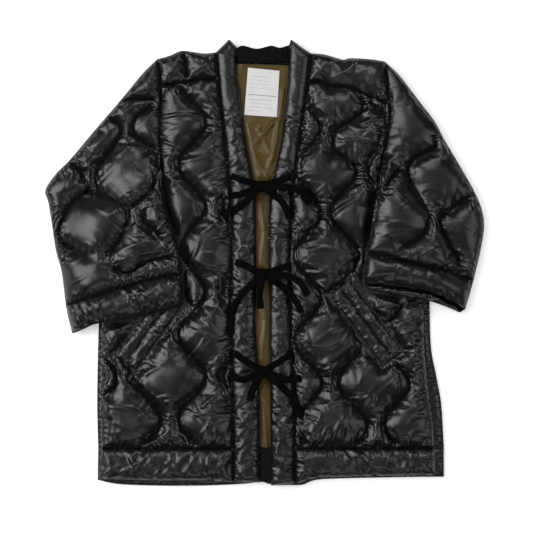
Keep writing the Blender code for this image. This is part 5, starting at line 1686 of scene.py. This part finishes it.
def stitch_row(surface, runs):
    """Short threads along the runs, lying on what is below them: points and faces."""
    coords = []
    faces = []
    for run in runs:
        at_step = curve(run, STITCH_PITCH)
        for start, end in zip(at_step[:-1], at_step[1:]):
            along = (end - start) / np.linalg.norm(end - start)
            across = left_of(along) * 0.5 * STITCH_WIDTH
            middle = 0.5 * (start + end)
            tips = [middle - along * 0.5 * STITCH_LENGTH, middle + along * 0.5 * STITCH_LENGTH]
            heights = [surface.height(*p) for p in (tips[0], middle, tips[1])]
            first = len(coords)
            top = max(heights[1], 0.5 * (heights[0] + heights[2]))
            coords.append((*tips[0], heights[0] - STITCH_SINK))
            coords.append((*tips[1], heights[2] - STITCH_SINK))
            coords.append((*(middle + across), top))
            coords.append((*middle, top + STITCH_RISE * STITCH_WIDTH))
            coords.append((*(middle - across), top))
            coords.append((*middle, top - 0.5 * STITCH_WIDTH))
            for k in range(4):
                a = first + 2 + k
                b = first + 2 + (k + 1) % 4
                faces.append((first, b, a))
                faces.append((first + 1, a, b))
    return coords, faces


def add_stitches(name, surface, runs):
    """One piece for all the stitches of a seam or panel."""
    coords, faces = stitch_row(surface, runs)
    # The thread's material is partly painted shade of the stitched grooves.
    return add_piece(name, MATERIALS["thread_and_groove_shade"], coords, faces)


def plain_outlines():
    """Outlines of the back, its hem and the strip behind the neck."""
    flanks = {side: [curve(edges[side]) for edges in (ARMHOLE, ARMPIT, BACK_SIDE)]
              for side in SIDES}
    back = loop_of(curve(SHOULDER["right"])[::-1], curve(NECKLINE), curve(SHOULDER["left"]),
                   *flanks["left"], curve(HEM_BACK_SEAM)[::-1],
                   *(edge[::-1] for edge in reversed(flanks["right"])))
    hem = loop_of(curve(HEM_BACK_SEAM), curve((HEM_BACK_SEAM[-1], HEM_BACK_EDGE[-1])),
                  curve(HEM_BACK_EDGE)[::-1], curve((HEM_BACK_EDGE[0], HEM_BACK_SEAM[0])))
    neck = filled(loop_of(curve(NECKLINE), COLLAR_TOP["left"][::-1], curve(NAPE_TOP)[::-1],
                          COLLAR_TOP["right"]))
    return (("back_panel", back), ("hem_back", hem), ("band_back", neck))


def band_outline(side):
    """A front band, from its seam and the hem to the collar's peak."""
    seam = BAND_SEAM[side]
    hem_corner = HEM_EDGE[side][-1 if side == "right" else 0]
    return filled(loop_of(curve(seam), curve((seam[-1], hem_corner)),
                          curve(BAND_EDGE[side])[::-1], COLLAR_TOP[side]))


def hem_outline(side):
    """The front stretch of the hem band between a front band and the side."""
    inner, outer = BAND_SEAM[side][-1], FRONT_SIDE[side][-1]
    low = curve(HEM_EDGE[side])
    if side == "left":
        low = low[::-1]
    return loop_of(curve((inner, outer)), curve((outer, low[0])), low, curve((low[-1], inner)))


def band_panels():
    """The two front bands and the two front stretches of the hem."""
    kinds = (("band_", band_outline, BAND_FOLDS, BAND_SWELL),
             ("hem_front_", hem_outline, HEM_FOLDS, HEM_SWELL))
    return [Panel(kind + side, inset(outline(side), 0.5 * GAP), (), band_height,
                  ruche=PLAIN_RUCHE, folds=folds, swell=swell)
            for kind, outline, folds, swell in kinds for side in SIDES]


def opening_edges():
    """The bands' inner edges between the nape and the hem band."""
    edges = [curve(BAND_EDGE[side]) for side in SIDES]
    return [edge[(edge[:, 1] < OPENING_TOP) & (edge[:, 1] > HEM_SEAM_Y)] for edge in edges]


def lining_height(points, near):
    """The lining: creased where it shows, flat below the bands and the label."""
    right, left = opening_edges()
    inner_right = np.interp(points[:, 1], right[::-1, 1], right[::-1, 0])
    inner_left = np.interp(points[:, 1], left[::-1, 1], left[::-1, 0])
    shown = np.minimum(points[:, 0] - inner_right, inner_left - points[:, 0])
    off_label = outside_by(points, np.array(LABEL_CORNERS)[::-1])
    free = smoothstep(*LINING_SHOWN, shown) * smoothstep(0.0, LABEL_PRESS, off_label)
    lift = np.zeros(len(points))
    for start, end, height, half_width in LINING_FOLDS:
        away = distance_to(points, curve((start, end)))
        lift = np.maximum(lift, height * np.exp(-(away / half_width) ** 2))
    rng = np.random.default_rng(SEEDS["lining_swell"])
    lift += LINING_SWELL * (1.0 + field(points, rng, LINING_PATCH))
    return LINING_REST + LINING_WALL + np.maximum(0.0, lift) * free, free


def lining_outline():
    """The lining reaches a little below each band."""
    right, left = opening_edges()
    tuck = np.array([LINING_TUCK, 0.0])
    return filled(loop_of(right - tuck, (left + tuck)[::-1]))


def facing_outline():
    """The black hem facing that shows in the front opening."""
    right, left = opening_edges()
    top = min(right[-1][1], left[-1][1]) - GAP
    x = FACING_SIDES
    return filled(loop_of(np.array([(x[0], top), (x[0], FACING_LOW[0]), (x[1], FACING_LOW[1]),
                                    (x[1], top)])))


def stacked_faces(rows, size, first=0):
    """Quads round a stack of equal rings of points, ring after ring."""
    faces = []
    for k in range(rows - 1):
        low = first + k * size
        high = low + size
        for i in range(size):
            j = (i + 1) % size
            faces.append((low + i, low + j, high + j, high + i))
    return faces


def closed_stack(rows, size):
    """The same with a face across each end."""
    last = (rows - 1) * size
    ends = [tuple(reversed(range(size))), tuple(last + i for i in range(size))]
    return stacked_faces(rows, size) + ends


def round_strand(path, radius):
    """A round strand along a path that runs level or nearly so: points and faces."""
    path = np.array(path)
    ahead = unit(np.gradient(path, axis=0))
    across = unit(np.cross(ahead, (0.0, 0.0, 1.0)))
    up = np.cross(across, ahead)
    turns = 2 * math.pi * np.arange(STRAND_SIDES) / STRAND_SIDES
    rings = path[:, None, :] + radius * (across[:, None, :] * np.cos(turns)[None, :, None]
                                         + up[:, None, :] * np.sin(turns)[None, :, None])
    return rings.reshape(-1, 3), closed_stack(len(path), STRAND_SIDES)


def add_piping():
    """The lining's rolled edge along the inner side of each band."""
    for side, edge in zip(SIDES, opening_edges()):
        rng = np.random.default_rng(SEEDS["piping"])
        level = PIPING_REST + PIPING_SWAY * field(edge, rng, PIPING_PATCH)
        path = np.column_stack([edge[:, 0] - WAY[side] * PIPING_OUT, edge[:, 1], level])
        coords, faces = round_strand(path, PIPING_RADIUS)
        add_piece("piping_" + side, MATERIALS["piping"], coords, faces)


def add_label_rules(top):
    """Plain ruled lines across the label."""
    high_left, high_right, low_right, low_left = (np.array(c) for c in LABEL_CORNERS)
    for k, (share, start, end, width) in enumerate(LABEL_RULES):
        left = blend(high_left, low_left, share)
        right = blend(high_right, low_right, share)
        run = curve((blend(left, right, start), blend(left, right, end)))
        path = np.column_stack([run, np.full(len(run), top)])
        coords, faces = round_strand(path, 0.5 * width)
        kind = "rule" if width > RULE_FINE else "faint_rule"
        add_piece(f"label_rule_{k + 1}", MATERIALS[kind], coords, faces)


def welt_panel(side):
    """The pocket's double piped strip, and the level of its underside."""
    start, end, seat = WELT[side]
    groove = curve((start, end))[WELT_TIPS:-WELT_TIPS]
    rest = seat + GAP

    def height(points, near):
        rng = np.random.default_rng(SEEDS["welt_crumple"])
        crumple = WELT_CRUMPLE * field(points, rng, WELT_PATCH)
        lift = (WELT_PUFF + crumple) * crown(near, WELT_ROLL_REACH)
        return rest + EDGE_WALL + lift, np.full(len(points), WELT_LOOSE)

    panel = Panel("welt_" + side, strip(start, end, WELT_WIDTH), (groove,), height,
                  step=WELT_STEP, ruche=0.0, folds=WELT_FOLDS)
    return panel, rest


def knot_route(centre, towards):
    """Where a tape comes out of a knot on its way to a point."""
    way = np.array(towards) - np.array(centre)
    way /= np.linalg.norm(way)
    reach = 1.0 / math.hypot(way[0] / (0.5 * KNOT_SIZE[0]), way[1] / (0.5 * KNOT_SIZE[1]))
    return np.array(centre) + way * (reach + KNOT_CLEAR)


def tape_heights(surface, route, across):
    """Underside heights that clear what is below and bridge its dips."""
    probes = np.linspace(-1.0, 1.0, PROBES)
    raw = np.array([max(surface.height(*(point + side * u * 0.5 * TAPE_WIDTH)) for u in probes)
                    for point, side in zip(route, across)])
    index = np.arange(len(raw))
    drop = TAPE_SLOPE * TAPE_STEP * np.abs(index[:, None] - index[None, :])
    return np.max(raw[None, :] - drop, axis=1) + TAPE_CLEAR


def fold_back(centres, sides, rolls, out):
    """Carry a tape round its tip and back above itself, with a belly between."""
    count = len(centres)
    tip = centres[-1].copy()
    for share in TIP_TURNS:
        angle = share * math.pi * 0.5
        rise = Vector((0.0, 0.0, TAPE_FOLD * (1.0 + math.sin(angle))))
        centres.append(tip + out * TAPE_FOLD * math.cos(angle) + rise)
        sides.append(sides[count - 1])
        rolls.append(0.0)
    share = np.linspace(0.0, 1.0, count)
    for i in reversed(range(count)):
        belly = LOOP_BELLY * math.sin(math.pi * share[i]) ** BELLY_POWER
        centres.append(centres[i] + Vector((0.0, 0.0, 2 * TAPE_FOLD + belly)))
        sides.append(sides[i])
        rolls.append(LOOP_ROLL * rolls[i])


def tape_section():
    """Points round a tape's cross-section: across it and up from its middle."""
    half = 0.5 * TAPE_WIDTH
    thin = 0.5 * TAPE_WALL
    edge = half - TAPE_EDGE
    return ((half, 0.0), (edge, thin), (0.5 * half, thin), (0.0, thin), (-0.5 * half, thin),
            (-edge, thin), (-half, 0.0), (-edge, -thin), (0.0, -thin), (edge, -thin))


def tape_mesh(surface, knot, points, is_loop, seed):
    """A flat tape on what is below it, or one folded back as a loop: points, faces, centres."""
    rng = np.random.default_rng(seed)
    route = curve((knot_route(knot, points[0]), *points), TAPE_STEP)
    along = unit(np.gradient(route, axis=0))
    across = left_of(along)
    under = tape_heights(surface, route, across)
    share = np.linspace(0.0, 1.0, len(route))
    roll = rng.uniform(*TAPE_ROLLS) * np.sin(math.pi * (share * rng.uniform(*TAPE_TURNS)
                                                        + rng.uniform(0.0, 1.0)))
    lift = np.abs(np.sin(roll)) * 0.5 * TAPE_WIDTH + 0.5 * TAPE_WALL
    centres = [Vector((*p, z + up)) for p, z, up in zip(route, under, lift)]
    sides = [Vector((*s, 0.0)) for s in across]
    rolls = list(roll)
    if is_loop:
        fold_back(centres, sides, rolls, Vector((*along[-1], 0.0)))
    section = tape_section()
    coords = []
    for i, (centre, side, turn) in enumerate(zip(centres, sides, rolls)):
        ahead = (centres[min(i + 1, len(centres) - 1)] - centres[max(i - 1, 0)]).normalized()
        wide = (Matrix.Rotation(turn, 3, ahead) @ side).normalized()
        up = ahead.cross(wide).normalized()
        coords.extend(tuple(centre + wide * u + up * v) for u, v in section)
    return coords, closed_stack(len(centres), len(section)), centres


def knot_level(surface, centre):
    """Height at which a knot settles on what is below it."""
    length, width, height = KNOT_SIZE
    tops = []
    probes = np.linspace(-KNOT_FOOT, KNOT_FOOT, KNOT_PROBES)
    for u in probes:
        for v in probes:
            if u * u + v * v < KNOT_FOOT:
                below = surface.height(centre[0] + 0.5 * length * u, centre[1] + 0.5 * width * v)
                tops.append(below + 0.5 * height * math.sqrt(1.0 - u * u - v * v))
    return np.percentile(tops, KNOT_SETTLE)


def knot_mesh(surface, centre, seed):
    """A pulled-tight knot of tape: a soft lump with wraps across it."""
    lean = np.random.default_rng(seed).uniform(*KNOT_LEANS)
    ball = [(-1.0, 0.0, 0.0)]
    for k in range(1, KNOT_ALONG):
        tilt = math.pi * k / KNOT_ALONG
        for i in range(KNOT_AROUND):
            turn = 2 * math.pi * i / KNOT_AROUND
            ball.append((math.cos(tilt), math.sin(tilt) * math.cos(turn),
                         math.sin(tilt) * math.sin(turn)))
    ball = np.array([*ball, (1.0, 0.0, 0.0)])
    place = (ball[:, 0] + lean * KNOT_SLANT * ball[:, 1]) * KNOT_WRAPS + KNOT_SHIFT
    wrap = np.abs(place % 1.0 - 0.5) * 2
    size = KNOT_CORE + KNOT_RISE * np.sqrt(np.clip(1 - wrap ** 4, 0, 1))
    coords = ball * size[:, None] * 0.5 * np.array(KNOT_SIZE)
    coords += np.array([*centre, knot_level(surface, centre)])
    faces = [(0, 1 + (i + 1) % KNOT_AROUND, 1 + i) for i in range(KNOT_AROUND)]
    faces.extend(stacked_faces(KNOT_ALONG - 1, KNOT_AROUND, first=1))
    last = len(coords) - 1
    row = last - KNOT_AROUND
    faces.extend((last, row + i, row + (i + 1) % KNOT_AROUND) for i in range(KNOT_AROUND))
    return coords, faces


def snap_mesh(surface, centre):
    """A domed snap cap with a rolled rim."""
    probes = np.linspace(-1, 1, PROBES)
    rest = SNAP_CLEAR + max(surface.height(centre[0] + SNAP_RADIUS * u, centre[1] + SNAP_RADIUS * v)
                            for u in probes for v in probes)
    coords = []
    for radius, height in SNAP_PROFILE:
        for i in range(SNAP_AROUND):
            angle = 2 * math.pi * i / SNAP_AROUND
            coords.append((centre[0] + SNAP_RADIUS * radius * math.cos(angle),
                           centre[1] + SNAP_RADIUS * radius * math.sin(angle),
                           rest + SNAP_HEIGHT * height))
    return coords, closed_stack(len(SNAP_PROFILE), SNAP_AROUND)


def add_bow(surface, bow, centre, strands, seed):
    """One tied bow: its strands of tape, then the knot over them."""
    for strand, is_loop, points in strands:
        name = f"bow_{bow}_{strand}"
        coords, faces, centres = tape_mesh(surface, centre, points, is_loop, seed)
        surface.add(coords, faces)
        piece = add_piece(name + "_tape", MATERIALS["tape"], coords, faces, node=name,
                          sharp=TAPE_SHARP)
        seed += 1
    coords, faces = knot_mesh(surface, centre, seed)
    name = f"bow_{bow}_knot"
    add_piece(name + "_tape", MATERIALS["tape"], coords, faces, node=name)


def place_panel(panel, rest, material, surface):
    """Close a panel, add it as a piece and let later pieces lie on it."""
    coords, faces, near, held = panel_solid(panel, rest)
    surface.add(coords, faces)
    return add_piece(panel.name + "_cloth", MATERIALS[material], coords, faces,
                     node=panel.name, near=near, held=held)


add_camera()
add_studio()
body = Surface()
arms = Surface()

fronts = [front_panel(side) for side in SIDES]
bands = band_panels()
tubes = [pair for side in SIDES for pair in sleeve_panels(side)]
simulate(fronts + bands + [panel for _, panel in tubes])

for name, outline in plain_outlines():
    back = Panel(name, inset(outline, 0.5 * GAP), (), soft_height(*BACK_ROLL), step=BACK_STEP,
                 ruche=0.0, folds=BACK_FOLDS, swell=0.0)
    place_panel(back, 0.0, "shell", body)

lining = Panel("lining_back", lining_outline(), (), lining_height, ruche=0.0, folds=None,
               swell=0.0)
lining_piece = place_panel(lining, LINING_REST, "lining", body)
# The hem facing takes the nylon that carries painted shade.
facing = Panel("hem_facing", facing_outline(), (), soft_height(*FACING_ROLL))
facing_piece = place_panel(facing, LINING_REST, "facing", body)
label_outline = filled(np.array(LABEL_CORNERS)[::-1])
label = Panel("label", label_outline, (), soft_height(*LABEL_ROLL), ruche=0.0, folds=None)
label_piece = place_panel(label, LINING_REST + LINING_WALL + GAP, "label", body)
nape_outline = inset(loop_of(curve(NAPE_TOP), curve(NECKLINE[2:5])[::-1]), NAPE_INSET)
nape = Panel("nape_facing", nape_outline, (), soft_height(*NAPE_ROLL), step=NAPE_STEP, ruche=0.0,
             folds=None)
nape_piece = place_panel(nape, LINING_REST, "pile", body)

for panel in fronts + bands:
    place_panel(panel, FRONT_REST, "shell", body)
for side in SIDES:
    welt, welt_rest = welt_panel(side)
    place_panel(welt, welt_rest, "shell", body)
for tube, panel in tubes:
    coords, faces, near, held = tube_solid(tube, panel)
    arms.add(coords, faces)
    piece = add_piece(panel.name + "_cloth", MATERIALS["shell"], coords, faces, node=panel.name,
                      near=near, held=held)

add_piping()
add_label_rules(label.base[:, 2].max())
for front in fronts:
    add_stitches("stitches_" + front.name, body, front.stitched)
for _, panel in tubes:
    if panel.stitched:
        add_stitches("stitches_" + panel.name, arms, panel.stitched)

for side in SIDES:
    coords, faces = snap_mesh(body, SNAP[side])
    add_piece(f"snap_{side}_cap", MATERIALS["snap"], coords, faces, node="snap_" + side)

for number, (bow, centre, strands) in enumerate(BOWS):
    add_bow(body, bow, centre, strands, SEEDS["bows"] + number * len(strands))
